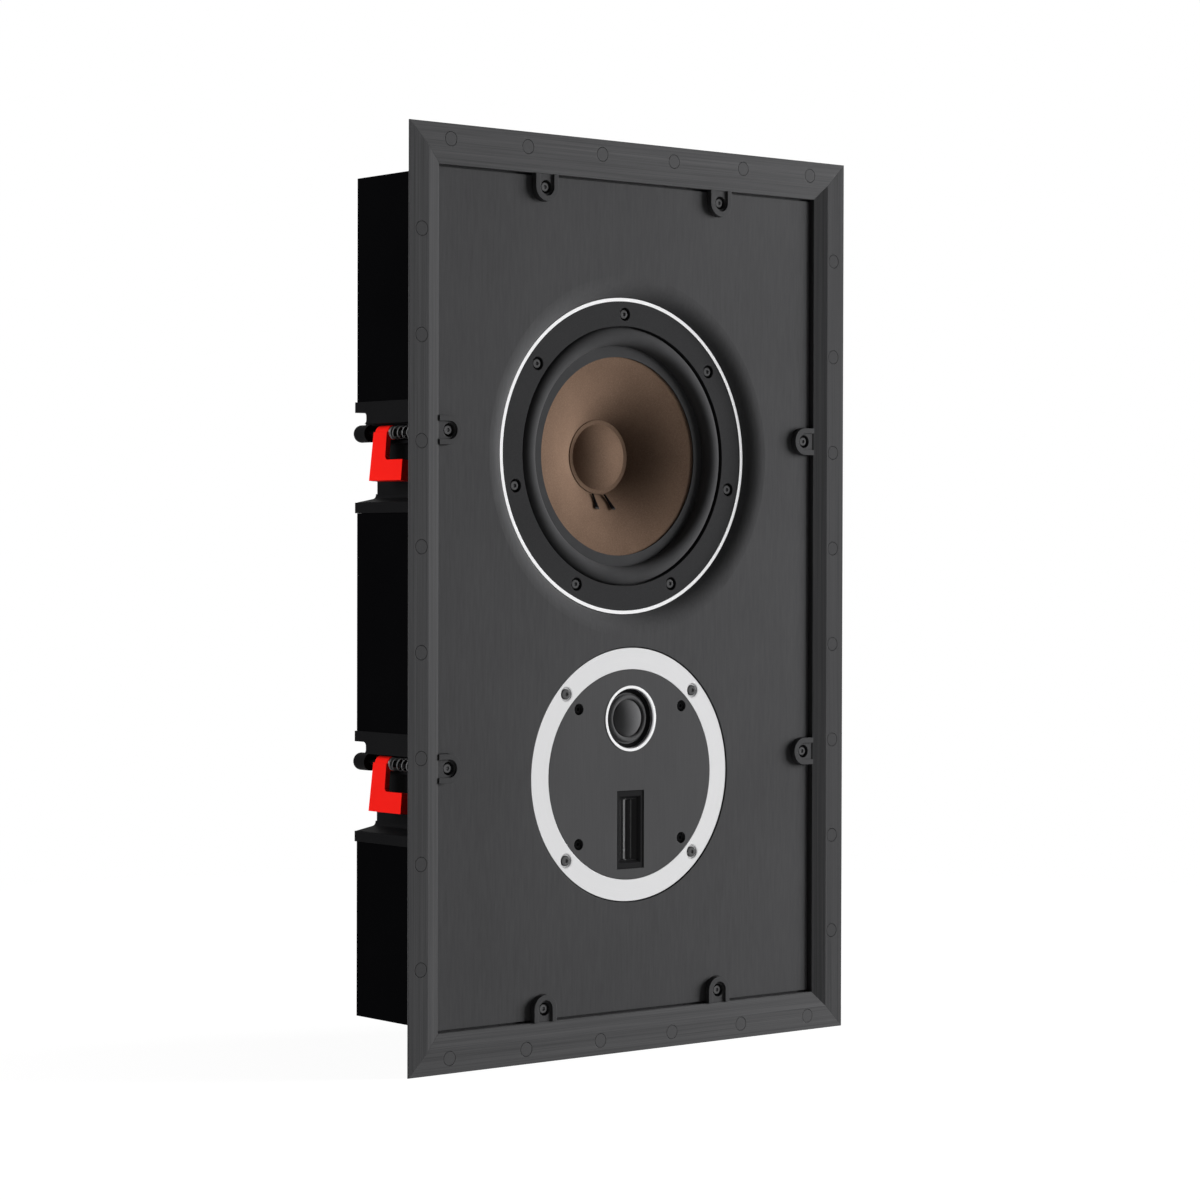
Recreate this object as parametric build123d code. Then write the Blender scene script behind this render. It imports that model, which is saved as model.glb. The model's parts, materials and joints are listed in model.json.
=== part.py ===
from build123d import *
import math
import os

# In-wall loudspeaker in millimetres: +Z up, +Y into the wall, the listener on the -Y side.
# The origin is the middle of the wall opening, on the wall's front plane.

# Frame of four mitred rails
frame_width = 405
frame_height = 650
flange_thickness = 3
flange_edge = 1
face_width = 27.5
flat_width = 16.5
bevel_drop = 3.5
wall_overlap = 17
rail_depth = 7
rail_wall = 1.6
key_leg = 40
key_clearance = 0.1

# Grille magnets, let in flush with the frame's face
magnet_radius = 4.8
magnet_thickness = 2
magnet_gap = 0.3
magnet_inset = 10.4
magnet_across_count = 6
magnet_pitch_across = 67
magnet_down_count = 8
magnet_pitch_down = 72

# Front baffle and closed cabinet
panel_recess = 6.6
panel_gap = 1.5
baffle_thickness = 22
ledge_overlap = 3.5
depth_in_wall = 99
cabinet_step = 0.2
cabinet_wall = 9

# Retaining tabs and their button-head screws
tab_radius = 10
tab_inset = 9.1
tab_height = 4.2
tab_sunk = 2.4
tab_clearance = 0.25
tab_channel = 6.2
tab_channel_depth = 1.5
tab_floor = 2.2
tab_spread = 81.4
tongue_width = 12
tongue_length = 4
head_radius = 3.8
head_height = 2.2
head_flat = 2.35
head_brim = 0.9
head_room = 1
head_drop = 0.6
socket_radius = 1.5
socket_depth = 1.3
shank_radius = 2.4
shank_gap = 0.05
tab_screw_length = 18

# Dog-leg wall clamps, the arms measured from the clamp screw's axis
clamp_height = 116
arm_front = 65.2
arm_back = 81.1
arm_heel = 1.5
arm_out = 6
arm_thickness = 3.8
arm_reach = 34.3
arm_tilt = 5
knee_round = 3
foot_thickness = 7.7
foot_height = 14.6
foot_front = 44.5
hub_radius = 5.1
hub_round = 1.2
washer_radius = 4.7
washer_thickness = 0.8
spring_radius = 4.1
spring_wire = 0.9
spring_turns = 11
spring_steps = 10
seat_gap = 0.1

# Moulded clamp troughs let into the cabinet's sides
lip_height = 7.4
lip_proud = 1.1
trough_above = 14.6
trough_below = 48.8
trough_depth = 16.2
trough_neck = 9.2
trough_wall = 3
trough_flare = 3
trough_slope = 3.3
trough_edge_round = 2.5
shelf_rise = 6.4
shelf_back = 86.5
notch_round = 3
rib_drop = 5.3
rib_height = 2.1
rib_inset = 4.8
tower_bore = 5.4
tower_wall = 1.4
tower_end_angle = -28
tower_top_angle = 90
cap_radius = 6.2
cap_front = 92
cap_back = 107.9
cap_round = 4
screw_tip = 98
relief_depth = 8

# Woofer
woofer_height = 101.8
dish_depth = 8
dish_round = 18
dish_clearance = 0.5
trim_radius = 113.7
trim_width = 2.5
clamp_ring_drop = 0.3
clamp_ring_inner = 93.5
clamp_ring_thickness = 4.5
flange_plate = 4
surround_thickness = 1
lip_radius = 97
roll_outer = 93
roll_inner = 79.5
roll_step = 2
roll_sides = 6
basket_hoop = 97.5
basket_seat = 91
cutout_clearance = 1
cone_radius = 71.5
cone_lap = 78.5
cone_thickness = 1
cone_depth = 26
cone_sag = 4
neck_radius = 23.8
cap_rim = 3
dust_cap_height = 8.5
dust_cap_wall = 0.8
former_wall = 1
coil_gap = 0.6
coil_length = 27
spider_depth = 30
spider_radius = 62
spider_wave = 1.6
spider_wave_count = 4
basket_rear = 41.5
basket_ring = 6
basket_bore = 43
basket_wall = 4
basket_window_count = 6
window_angle = 42
motor_radius = 55
top_plate_thickness = 7
woofer_magnet_radius = 60
woofer_magnet_bore = 31
woofer_magnet_thickness = 15
yoke_thickness = 7
vent_radius = 6
woofer_screw_count = 7
woofer_screw_circle = 102
woofer_screw_length = 10.5
lead_radius = 0.8
lead_length = 11
lead_angles = (-103, -80)

# Hybrid tweeter module
tweeter_height = -126.9
tweeter_recess = 0.6
tweeter_radius = 91
tweeter_gap = 0.9
ring_inner = 75.65
ring_thickness = 3.3
ring_sink_bevel = 0.7
plate_gap = 0.3
plate_drop = 0.1
chassis_thickness = 5.7
chassis_cutout = 78
ring_screw_offset = 59
plate_screw_offset = 48
plate_head_radius = 3.2
plate_head_height = 1.3
plate_head_drop = 1.2
plate_head_room = 0.9
plate_shank_radius = 1.3
plate_screw_length = 9
dome_rise = 40.2
dome_trim_radius = 23.6
dome_trim_width = 1.9
dome_trim_bevel = 0.5
dome_trim_slope = 1
dome_trim_proud = 0.4
dome_radius = 13.4
dome_height = 6.5
dome_wall = 0.5
dome_recess = 1.6
dome_lip = 18.4
dome_roll_outer = 17.3
dome_coil_length = 9
dome_coil_room = 2.4
dome_motor_radius = 32
dome_motor_depth = 18
ribbon_drop = 39.7
window_width = 25
window_height = 56
window_drop = 0.6
window_flare = 3
foil_width = 17
foil_height = 45
foil_gap = 0.5
foil_thickness = 0.25
foil_tail = 2
foil_wave_count = 2
foil_wave_depth = 1.8
foil_bar = 0.9
ribbon_magnet_width = 6
ribbon_magnet_depth = 12
ribbon_yoke = 3

# Terminal cup in the rear panel
terminal_rise = 55.8
cup_width = 70
cup_height = 46
cup_depth = 16
cup_wall = 2.5
cup_flange = 8
post_spread = 38
post_radius = 6
plug_bore = 2
plug_depth = 12
stud_radius = 2.5
stud_length = 6

# Crossover on the inside of the rear panel, and the damping pad
board_height = 80
board_thickness = 1.6
board_gap = 4.5
board_floor_gap = 11.8
standoff_height = 6
standoff_radius = 3
standoff_inset = 6
coil_radius = 19
coil_bore = 8
coil_height = 14
can_radius = 8
can_length = 34
can_gap = 3
pad_height = 120
pad_thickness = 20
pad_gap = 24

# Places worked out from the sizes above
face_front = -flange_thickness
edge_x = frame_width / 2 - face_width
edge_z = frame_height / 2 - face_width
channel_front = face_front + bevel_drop + rail_wall
channel_back = rail_depth - rail_wall
panel_front = face_front + panel_recess
baffle_back = panel_front + baffle_thickness
panel_x = edge_x - panel_gap
panel_z = edge_z - panel_gap
cabinet_x = panel_x - cabinet_step
cabinet_z = panel_z - cabinet_step
inner_x = cabinet_x - cabinet_wall
inner_z = cabinet_z - cabinet_wall
rear_inside = depth_in_wall - cabinet_wall
hole_radius = shank_radius + shank_gap
post_x = edge_x - tab_inset
post_z = edge_z - tab_inset
tab_front = panel_front - tab_height
tab_back = panel_front + tab_sunk
head_seat = tab_back - tab_floor
relief_floor = panel_front + relief_depth
side_face = cabinet_x - post_x
trough_floor = trough_depth - side_face
trough_back = trough_floor + trough_wall
lip_outer = side_face + lip_proud
washer_front = arm_front - seat_gap - washer_thickness
trim_front = panel_front + dish_depth
clamp_ring_front = trim_front + clamp_ring_drop
lip_front = clamp_ring_front + clamp_ring_thickness
roll_base = lip_front + surround_thickness
cone_front = roll_base + roll_step
woofer_seat = clamp_ring_front + head_height + head_drop
cutout_radius = basket_hoop + cutout_clearance
basket_back = lip_front + basket_rear
neck_back = cone_front + cone_depth
flange_back = lip_front + flange_plate
coil_outer = neck_radius - seat_gap
coil_inner = coil_outer - former_wall
ring_front = panel_front + tweeter_recess
chassis_front = ring_front + ring_thickness
chassis_back = chassis_front + chassis_thickness
plate_front = ring_front + plate_drop
plate_seat = plate_front + plate_head_drop + plate_head_height
ring_seat = ring_front + head_height
funnel_mouth = dome_trim_radius - dome_trim_width - dome_trim_bevel
plate_hole = plate_shank_radius + shank_gap
dome_z = tweeter_height + dome_rise
ribbon_z = tweeter_height - ribbon_drop
dome_seat = chassis_front + dome_recess
dome_base = dome_seat - dome_wall
cup_floor = depth_in_wall - cup_depth
terminal_z = terminal_rise - cabinet_z
board_back = rear_inside - standoff_height
board_front = board_back - board_thickness
board_left = trough_back - post_x + board_gap
board_right = -cup_width / 2 - board_gap
board_low = board_floor_gap - inner_z
board_high = board_low + board_height
board_z = (board_low + board_high) / 2


# Shared shapes

def rod(radius, front, back, x=0, z=0):
    return Pos(x, (front + back) / 2, z) * Rot(90, 0, 0) * Cylinder(radius, back - front)


def ring(outer, inner, front, back, x=0, z=0):
    return rod(outer, front, back, x, z) - rod(inner, front, back, x, z)


def block(x0, x1, y0, y1, z0, z1):
    middle = Pos((x0 + x1) / 2, (y0 + y1) / 2, (z0 + z1) / 2)
    return middle * Box(x1 - x0, y1 - y0, z1 - z0)


def turned(outline, x=0, z=0):
    return Pos(x, 0, z) * revolve(make_face(outline), Axis.Y)


def turned_points(points, x=0, z=0):
    return turned(Polyline(*points, close=True), x, z)


def prism(face, front, back):
    return extrude(Plane.XZ.offset(-front) * face, amount=back - front, dir=(0, 1, 0))


def bowl_arc(rim_radius, height, crown):
    ball = (rim_radius ** 2 + height ** 2) / (2 * height)
    sweep_angle = math.degrees(math.asin(rim_radius / ball))
    return CenterArc((0, crown + ball), ball, -90, sweep_angle)


def tip_point(radius, angle):
    return (radius * math.cos(math.radians(angle)), radius * math.sin(math.radians(angle)))


def button_screw(seat, tip, x=0, z=0):
    top = seat - head_height
    outline = Polyline(
        (0, top), (head_flat, top), (head_radius, seat - head_brim), (head_radius, seat),
        (shank_radius, seat), (shank_radius, tip), (0, tip), close=True)
    socket = prism(RegularPolygon(socket_radius, 6), top, top + socket_depth)
    return turned(outline, x, z) - Pos(x, 0, z) * socket


# Frame

def rail_section():
    return make_face(Polyline(
        (0, face_front), (flat_width, face_front), (face_width, face_front + bevel_drop),
        (face_width, rail_depth), (wall_overlap, rail_depth), (wall_overlap, 0),
        (flange_thickness - flange_edge, 0), (0, face_front + flange_edge), close=True))


def frame_rail(length, offset, magnet_places, tab_places):
    channel = make_face(Polyline(
        (wall_overlap + rail_wall, channel_front), (face_width - rail_wall, channel_front),
        (face_width - rail_wall, channel_back), (wall_overlap + rail_wall, channel_back), close=True))
    bar = extrude(rail_section() - channel, amount=length / 2, both=True)
    mitred = Polygon(
        (0, -length / 2), (face_width, face_width - length / 2),
        (face_width, length / 2 - face_width), (0, length / 2), align=None)
    bar = bar & prism(mitred, face_front, rail_depth)
    pocket_radius = magnet_radius + magnet_gap
    pockets = [rod(pocket_radius, face_front, face_front + magnet_thickness, magnet_inset, z)
               for z in magnet_places]
    half_slot = tongue_width / 2 + key_clearance
    slot_start = face_width - rail_wall
    slots = [block(slot_start, face_width, channel_front, channel_back, z - half_slot, z + half_slot)
             for z in tab_places]
    return Pos(-offset, 0, 0) * (bar - pockets - slots)


def row(count, pitch):
    return [(i - (count - 1) / 2) * pitch for i in range(count)]


def frame_rails():
    side = frame_rail(frame_height, frame_width / 2, row(magnet_down_count, magnet_pitch_down),
                      (-clamp_height, clamp_height))
    end = frame_rail(frame_width, frame_height / 2, row(magnet_across_count, magnet_pitch_across),
                     (-tab_spread, tab_spread))
    return {
        "frame_rail_left": side,
        "frame_rail_right": Rot(0, 180, 0) * side,
        "frame_rail_top": Rot(0, 90, 0) * end,
        "frame_rail_bottom": Rot(0, -90, 0) * end,
    }


def corner_keys():
    near = wall_overlap + rail_wall + key_clearance
    far = face_width - rail_wall - key_clearance
    outline = Polygon(
        (near, near), (key_leg, near), (key_leg, far), (far, far), (far, key_leg), (near, key_leg), align=None)
    key = prism(outline, channel_front + key_clearance, channel_back - key_clearance)
    corner = Pos(-frame_width / 2, 0, -frame_height / 2) * key
    right = mirror(corner, Plane.YZ)
    return [corner, right, mirror(corner, Plane.XY), mirror(right, Plane.XY)]


def grille_magnets():
    side_x = frame_width / 2 - magnet_inset
    end_z = frame_height / 2 - magnet_inset
    places = [(s * side_x, z) for s in (-1, 1) for z in row(magnet_down_count, magnet_pitch_down)]
    places += [(x, s * end_z) for s in (-1, 1) for x in row(magnet_across_count, magnet_pitch_across)]
    return [rod(magnet_radius, face_front, face_front + magnet_thickness, x, z) for x, z in places]


# Tabs

def tab_outline(radius, reach):
    length = reach + radius
    return (Circle(radius) + Pos(-reach / 2, 0) * Rectangle(reach, 2 * radius)) & (
        Pos(radius - length / 2, 0) * Rectangle(length, 2 * radius))


def retaining_tab():
    reach = tab_inset - key_clearance
    tab = prism(tab_outline(tab_radius, reach), tab_front, tab_back)
    tab -= prism(tab_outline(tab_channel, reach), tab_front, tab_front + tab_channel_depth)
    tab -= rod(head_radius + head_room, tab_front, head_seat)
    tongue = block(-tab_inset - rail_wall - tongue_length, -reach, channel_front + key_clearance,
                   channel_back - key_clearance, -tongue_width / 2, tongue_width / 2)
    return tab + tongue - rod(hole_radius, tab_front, tab_back)


def at_tabs(shape):
    left = [Pos(-post_x, 0, s * clamp_height) * shape for s in (-1, 1)]
    right = [Rot(0, 180, 0) * piece for piece in left]
    top = [Pos(s * tab_spread, 0, post_z) * Rot(0, 90, 0) * shape for s in (-1, 1)]
    bottom = [Rot(0, 180, 0) * piece for piece in top]
    return left + right + top + bottom


def tab_screws():
    tip = head_seat + tab_screw_length
    places = [(s * tab_spread, t * post_z) for s in (-1, 1) for t in (-1, 1)]
    return [button_screw(head_seat, tip, x, z) for x, z in places]


# Baffle and cabinet

def at_clamps(shape):
    left = [Pos(-post_x, 0, s * clamp_height) * shape for s in (1, -1)]
    return left + [Rot(0, 180, 0) * piece for piece in left]


def woofer_opening():
    inner = trim_radius + dish_clearance
    reach = math.sqrt(dish_round ** 2 - (dish_round - dish_depth) ** 2)
    turn = math.degrees(math.asin(reach / dish_round))
    round_front = Polyline((0, panel_front), (inner + reach, panel_front))
    round_over = CenterArc((inner + reach, panel_front + dish_round), dish_round, 270 - turn, turn)
    rest = Polyline(
        (inner, trim_front), (inner, flange_back), (cutout_radius, flange_back),
        (cutout_radius, baffle_back), (0, baffle_back), (0, panel_front))
    return turned([round_front, round_over, rest], 0, woofer_height)


def circle_places(count, radius, z):
    turns = [math.radians(90 + i * 360 / count) for i in range(count)]
    return [(radius * math.cos(t), z + radius * math.sin(t)) for t in turns]


def square_places(offset, z):
    return [(s * offset, z + t * offset) for s in (-1, 1) for t in (-1, 1)]


def front_baffle():
    board = block(-panel_x, panel_x, panel_front, baffle_back, -panel_z, panel_z)
    ledge_x = edge_x + ledge_overlap
    ledge_z = edge_z + ledge_overlap
    board += block(-ledge_x, ledge_x, rail_depth, baffle_back, -ledge_z, ledge_z)
    board -= woofer_opening()
    board -= rod(tweeter_radius + tweeter_gap, panel_front, chassis_back, 0, tweeter_height)
    board -= rod(chassis_cutout, chassis_back, baffle_back, 0, tweeter_height)
    pocket = tab_outline(tab_radius + tab_clearance, tab_inset)
    board -= at_tabs(prism(pocket, panel_front, tab_back))
    board -= at_tabs(rod(hole_radius, tab_back, baffle_back))
    relief = block(-side_face - ledge_x, trough_floor, relief_floor, baffle_back, -trough_below, trough_above)
    board -= at_clamps(relief)
    for x, z in circle_places(woofer_screw_count, woofer_screw_circle, woofer_height):
        board -= rod(hole_radius, flange_back, baffle_back, x, z)
    for x, z in square_places(ring_screw_offset, tweeter_height):
        board -= rod(hole_radius, chassis_back, baffle_back, x, z)
    return board


def cabinet_box():
    box = block(-cabinet_x, cabinet_x, baffle_back, depth_in_wall, -cabinet_z, cabinet_z)
    box -= block(-inner_x, inner_x, baffle_back, rear_inside, -inner_z, inner_z)
    notch = block(-side_face, trough_back + seat_gap, baffle_back, depth_in_wall,
                  -trough_below - lip_height - seat_gap, trough_above + lip_height + seat_gap)
    box -= at_clamps(notch)
    half_x = cup_width / 2 + seat_gap
    half_z = cup_height / 2 + seat_gap
    return box - block(-half_x, half_x, rear_inside, depth_in_wall, terminal_z - half_z, terminal_z + half_z)


# Clamps

def trough_edge(low, high):
    x = trough_floor + trough_edge_round
    y = depth_in_wall - trough_edge_round
    corner = block(trough_floor, x, y, depth_in_wall, low, high)
    return corner - Pos(x, y, (low + high) / 2) * Cylinder(trough_edge_round, high - low)


def clamp_trough():
    solid = block(-side_face, trough_back, baffle_back, depth_in_wall, -trough_below, trough_above)
    lip_back = depth_in_wall + lip_proud
    solid += block(-lip_outer, trough_back, baffle_back, lip_back, trough_above, trough_above + lip_height)
    solid += block(-lip_outer, trough_back, baffle_back, lip_back, -trough_below - lip_height, -trough_below)
    floor_end = trough_slope - trough_below
    pocket = make_face(Polyline(
        (-lip_outer, -trough_below), (-lip_outer, 0), (trough_floor, 0), (trough_floor, floor_end), close=True))
    corner = pocket.vertices().filter_by_position(Axis.X, trough_floor, trough_floor).sort_by(Axis.Y)[0]
    solid -= prism(fillet(corner, trough_flare), baffle_back, depth_in_wall)
    neck_floor = trough_neck - side_face
    solid -= block(-lip_outer, neck_floor, baffle_back, depth_in_wall, 0, shelf_rise)
    notch = RectangleRounded(2 * (depth_in_wall - shelf_back), trough_above - shelf_rise, notch_round)
    notch = Plane.YZ * (Pos(depth_in_wall, (shelf_rise + trough_above) / 2) * notch)
    solid += block(-lip_outer, -side_face, baffle_back, depth_in_wall, shelf_rise, trough_above)
    solid -= Pos(-lip_outer, 0, 0) * extrude(notch, amount=lip_outer + neck_floor, dir=(1, 0, 0))
    solid += block(rib_inset, trough_back, baffle_back, cap_front, -rib_drop - rib_height, -rib_drop)
    solid -= trough_edge(floor_end + trough_flare, -rib_drop - rib_height)
    tower_outer = tower_bore + tower_wall
    span = tower_top_angle - tower_end_angle
    wedge = make_face([
        Line((0, 0), tip_point(tower_outer, tower_end_angle)),
        CenterArc((0, 0), tower_outer, tower_end_angle, span),
        Line(tip_point(tower_outer, tower_top_angle), (0, 0))])
    solid += prism(wedge, baffle_back, depth_in_wall)
    solid -= rod(tower_bore, baffle_back, depth_in_wall)
    knob = rod(cap_radius, cap_front, cap_back)
    knob = fillet(knob.edges().group_by(Axis.Y)[-1], cap_round)
    knob += prism(wedge, cap_front, depth_in_wall)
    return solid + knob - rod(hole_radius, cap_front, screw_tip + seat_gap)


def dogleg():
    foot_top = foot_height - arm_reach
    knee = arm_front - knee_round
    side = make_face([
        Polyline((arm_front, foot_top + knee_round), (arm_front, 0), (arm_back, 0),
                 (arm_back + arm_heel, -arm_reach), (foot_front, -arm_reach), (foot_front, foot_top),
                 (knee, foot_top)),
        CenterArc((knee, foot_top + knee_round), knee_round, -90, 90)])
    arm = Pos(-arm_out, 0, 0) * extrude(Plane.YZ * side, amount=arm_thickness, dir=(1, 0, 0))
    arm += block(-arm_out, foot_thickness - arm_out, foot_front, arm_back, -arm_reach, foot_top)
    hub = rod(hub_radius, arm_front, arm_back)
    arm += fillet(hub.edges().filter_by(GeomType.CIRCLE), hub_round)
    arm -= rod(hole_radius, arm_front, arm_back + arm_heel)
    return Rot(0, arm_tilt, 0) * arm


def clamp_washer():
    return ring(washer_radius, hole_radius, washer_front, washer_front + washer_thickness)


def clamp_spring():
    half_wire = spring_wire / 2
    start = relief_floor + seat_gap + half_wire
    rise = washer_front - seat_gap - half_wire - start
    steps = spring_turns * spring_steps
    path = []
    for i in range(steps + 1):
        turn = 2 * math.pi * i / spring_steps
        path.append((spring_radius * math.cos(turn), start + rise * i / steps, spring_radius * math.sin(turn)))
    line = Polyline(*path)
    wire = Plane(origin=line @ 0, z_dir=line % 0) * Rectangle(spring_wire, spring_wire)
    return sweep(wire, path=line, transition=Transition.RIGHT)


# Woofer

def turned_woofer(points):
    return turned_points(points, 0, woofer_height)


def woofer_trim_ring():
    return ring(trim_radius, trim_radius - trim_width, trim_front, lip_front, 0, woofer_height)


def woofer_clamp_ring():
    outer = trim_radius - trim_width - seat_gap
    plate = ring(outer, clamp_ring_inner, clamp_ring_front, lip_front, 0, woofer_height)
    for x, z in circle_places(woofer_screw_count, woofer_screw_circle, woofer_height):
        plate -= rod(hole_radius, clamp_ring_front, lip_front, x, z)
        plate -= rod(head_radius + head_room, clamp_ring_front, woofer_seat, x, z)
    return plate


def woofer_screw_set():
    places = circle_places(woofer_screw_count, woofer_screw_circle, woofer_height)
    return [button_screw(woofer_seat, woofer_seat + woofer_screw_length, x, z) for x, z in places]


def woofer_basket():
    seat = lip_front + surround_thickness
    hoop_back = flange_back + surround_thickness
    shelf = cone_front + spider_depth + surround_thickness
    plate = basket_back - basket_ring
    shell = turned_woofer([
        (trim_radius, lip_front), (lip_radius + seat_gap, lip_front), (lip_radius + seat_gap, seat),
        (basket_seat, seat), (basket_seat, hoop_back), (spider_radius + seat_gap, shelf - surround_thickness),
        (spider_radius + seat_gap, shelf), (spider_radius - basket_ring, shelf),
        (spider_radius - basket_ring, plate), (basket_bore, plate), (basket_bore, basket_back),
        (motor_radius, basket_back), (spider_radius + basket_wall, shelf), (basket_hoop, hoop_back),
        (basket_hoop, flange_back), (trim_radius, flange_back)])
    for i in range(basket_window_count):
        turn = 90 + (i + 0.5) * 360 / basket_window_count
        shell -= basket_window(turn, hoop_back + basket_wall, shelf - basket_wall)
    for x, z in circle_places(woofer_screw_count, woofer_screw_circle, woofer_height):
        shell -= rod(hole_radius, lip_front, flange_back, x, z)
    return shell


def basket_window(turn, front, back):
    start = turn - window_angle / 2
    far = tip_point(basket_hoop, start)
    wedge = make_face([
        Line((0, 0), far),
        CenterArc((0, 0), basket_hoop, start, window_angle),
        Line(tip_point(basket_hoop, start + window_angle), (0, 0))])
    return Pos(0, 0, woofer_height) * prism(wedge, front, back)


def roll_points(radius, front):
    middle = (roll_outer + roll_inner) / 2
    turns = [math.pi * i / roll_sides for i in range(roll_sides + 1)]
    return [(middle + radius * math.cos(t), front - radius * math.sin(t)) for t in turns]


def woofer_surround():
    half = (roll_outer - roll_inner) / 2
    outside = roll_points(half, roll_base)
    inside = roll_points(half - surround_thickness, roll_base)
    flange_front = cone_front - surround_thickness
    outer_lip = [(lip_radius, lip_front), (lip_radius, roll_base)]
    inner_lip = [(roll_inner + surround_thickness, cone_front), (cone_radius, cone_front),
                 (cone_radius, flange_front), (roll_inner, flange_front)]
    return turned_woofer(outer_lip + inside + inner_lip + outside[:0:-1] + [(roll_outer, lip_front)])


def cone_curve():
    run = cone_radius - neck_radius
    chord = math.hypot(run, cone_depth)
    radius = (chord ** 2 / 4 + cone_sag ** 2) / (2 * cone_sag)
    away = radius - cone_sag
    x = neck_radius + run / 2 + away * cone_depth / chord
    y = cone_front + cone_depth / 2 + away * run / chord
    return x, y, radius


def cone_face(reach):
    x, y, radius = cone_curve()
    return y - math.sqrt(radius ** 2 - (reach - x) ** 2)


def woofer_cone():
    middle = (cone_radius + neck_radius) / 2
    front_end = (neck_radius, neck_back)
    back_end = (neck_radius, neck_back + cone_thickness)
    back_start = (cone_radius, cone_front + cone_thickness)
    lap_back = (cone_lap, cone_front + cone_thickness)
    return turned([
        Line((cone_lap, cone_front), (cone_radius, cone_front)),
        ThreePointArc((cone_radius, cone_front), (middle, cone_face(middle)), front_end),
        Line(front_end, back_end),
        ThreePointArc(back_end, (middle, cone_face(middle) + cone_thickness), back_start),
        Polyline(back_start, lap_back, (cone_lap, cone_front))], 0, woofer_height)


def dust_cap():
    foot = cone_face(neck_radius + cap_rim) - seat_gap
    rim_front = foot - dust_cap_wall
    crown = rim_front - dust_cap_height
    inner = neck_radius - dust_cap_wall
    rim = neck_radius + cap_rim
    return turned([
        bowl_arc(neck_radius, dust_cap_height, crown),
        Polyline((neck_radius, rim_front), (rim, rim_front), (rim, foot), (inner, foot)),
        bowl_arc(inner, dust_cap_height, crown + dust_cap_wall),
        Line((0, crown + dust_cap_wall), (0, crown))], 0, woofer_height)


def voice_coil():
    return ring(coil_outer, coil_inner, neck_back, neck_back + coil_length, 0, woofer_height)


def spider():
    front = cone_front + spider_depth
    width = (spider_radius - neck_radius) / (2 * spider_wave_count)
    crest = [(neck_radius + width * i, front - spider_wave * (i % 2)) for i in range(2 * spider_wave_count + 1)]
    back = [(r, y + surround_thickness) for r, y in reversed(crest)]
    return turned_woofer(crest + back)


def woofer_top_plate():
    bore = coil_outer + coil_gap
    return ring(motor_radius, bore, basket_back, basket_back + top_plate_thickness, 0, woofer_height)


def woofer_magnet():
    front = basket_back + top_plate_thickness
    back = front + woofer_magnet_thickness
    return ring(woofer_magnet_radius, woofer_magnet_bore, front, back, 0, woofer_height)


def woofer_yoke():
    front = basket_back + top_plate_thickness + woofer_magnet_thickness
    pole = coil_inner - coil_gap
    return turned_woofer([
        (vent_radius, basket_back), (pole, basket_back), (pole, front), (motor_radius, front),
        (motor_radius, front + yoke_thickness), (vent_radius, front + yoke_thickness)])


def lead_wires():
    leads = []
    for angle in lead_angles:
        near = neck_radius + cap_rim + lead_radius
        far = near + lead_length
        start_x, start_z = tip_point(near, angle)
        end_x, end_z = tip_point(far, angle)
        lift = lead_radius + coil_gap
        start = Vector(start_x, cone_face(near) - lift, woofer_height + start_z)
        end = Vector(end_x, cone_face(far) - lift, woofer_height + end_z)
        section = Plane(origin=start, z_dir=end - start) * Circle(lead_radius)
        leads.append(extrude(section, amount=(end - start).length))
    return leads


# Tweeter module

def tweeter_ring():
    plate = ring(tweeter_radius, ring_inner, ring_front, chassis_front, 0, tweeter_height)
    sink = head_radius + head_room
    for x, z in square_places(ring_screw_offset, tweeter_height):
        plate -= rod(hole_radius, ring_front, chassis_front, x, z)
        plate -= turned_points([
            (0, ring_front), (sink + ring_sink_bevel, ring_front), (sink, ring_front + ring_sink_bevel),
            (sink, ring_seat), (0, ring_seat)], x, z)
    return plate


def tweeter_ring_screws():
    places = square_places(ring_screw_offset, tweeter_height)
    return [button_screw(ring_seat, baffle_back - cutout_clearance, x, z) for x, z in places]


def tweeter_faceplate():
    plate = rod(ring_inner - plate_gap, plate_front, chassis_front, 0, tweeter_height)
    plate -= rod(dome_trim_radius + seat_gap, plate_front, chassis_front, 0, dome_z)
    half_x = window_width / 2 + seat_gap
    half_z = window_height / 2 + seat_gap
    plate -= block(-half_x, half_x, plate_front, chassis_front, ribbon_z - half_z, ribbon_z + half_z)
    for x, z in square_places(plate_screw_offset, tweeter_height):
        plate -= rod(plate_head_radius + plate_head_room, plate_front, plate_seat, x, z)
        plate -= rod(plate_hole, plate_seat, chassis_front, x, z)
    return plate


def faceplate_screws():
    top = plate_front + plate_head_drop
    tip = top + plate_screw_length
    screws = []
    for x, z in square_places(plate_screw_offset, tweeter_height):
        screw = rod(plate_head_radius, top, plate_seat, x, z)
        screw += rod(plate_shank_radius, plate_seat, tip, x, z)
        screws.append(screw)
    return screws


def tweeter_chassis():
    plate = rod(tweeter_radius, chassis_front, chassis_back, 0, tweeter_height)
    seat_radius = dome_lip + seat_gap
    plate -= turned_points([
        (0, chassis_front), (funnel_mouth, chassis_front), (seat_radius, dome_base), (seat_radius, dome_seat),
        (0, dome_seat)], 0, dome_z)
    plate -= rod(dome_roll_outer, dome_seat, chassis_back, 0, dome_z)
    half_x = foil_width / 2 + foil_gap
    half_z = foil_height / 2 + foil_gap
    plate -= block(-half_x, half_x, chassis_front, chassis_back, ribbon_z - half_z, ribbon_z + half_z)
    for x, z in square_places(ring_screw_offset, tweeter_height):
        plate -= rod(hole_radius, chassis_front, chassis_back, x, z)
    for x, z in square_places(plate_screw_offset, tweeter_height):
        plate -= rod(plate_hole, chassis_front, chassis_back, x, z)
    return plate


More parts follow.
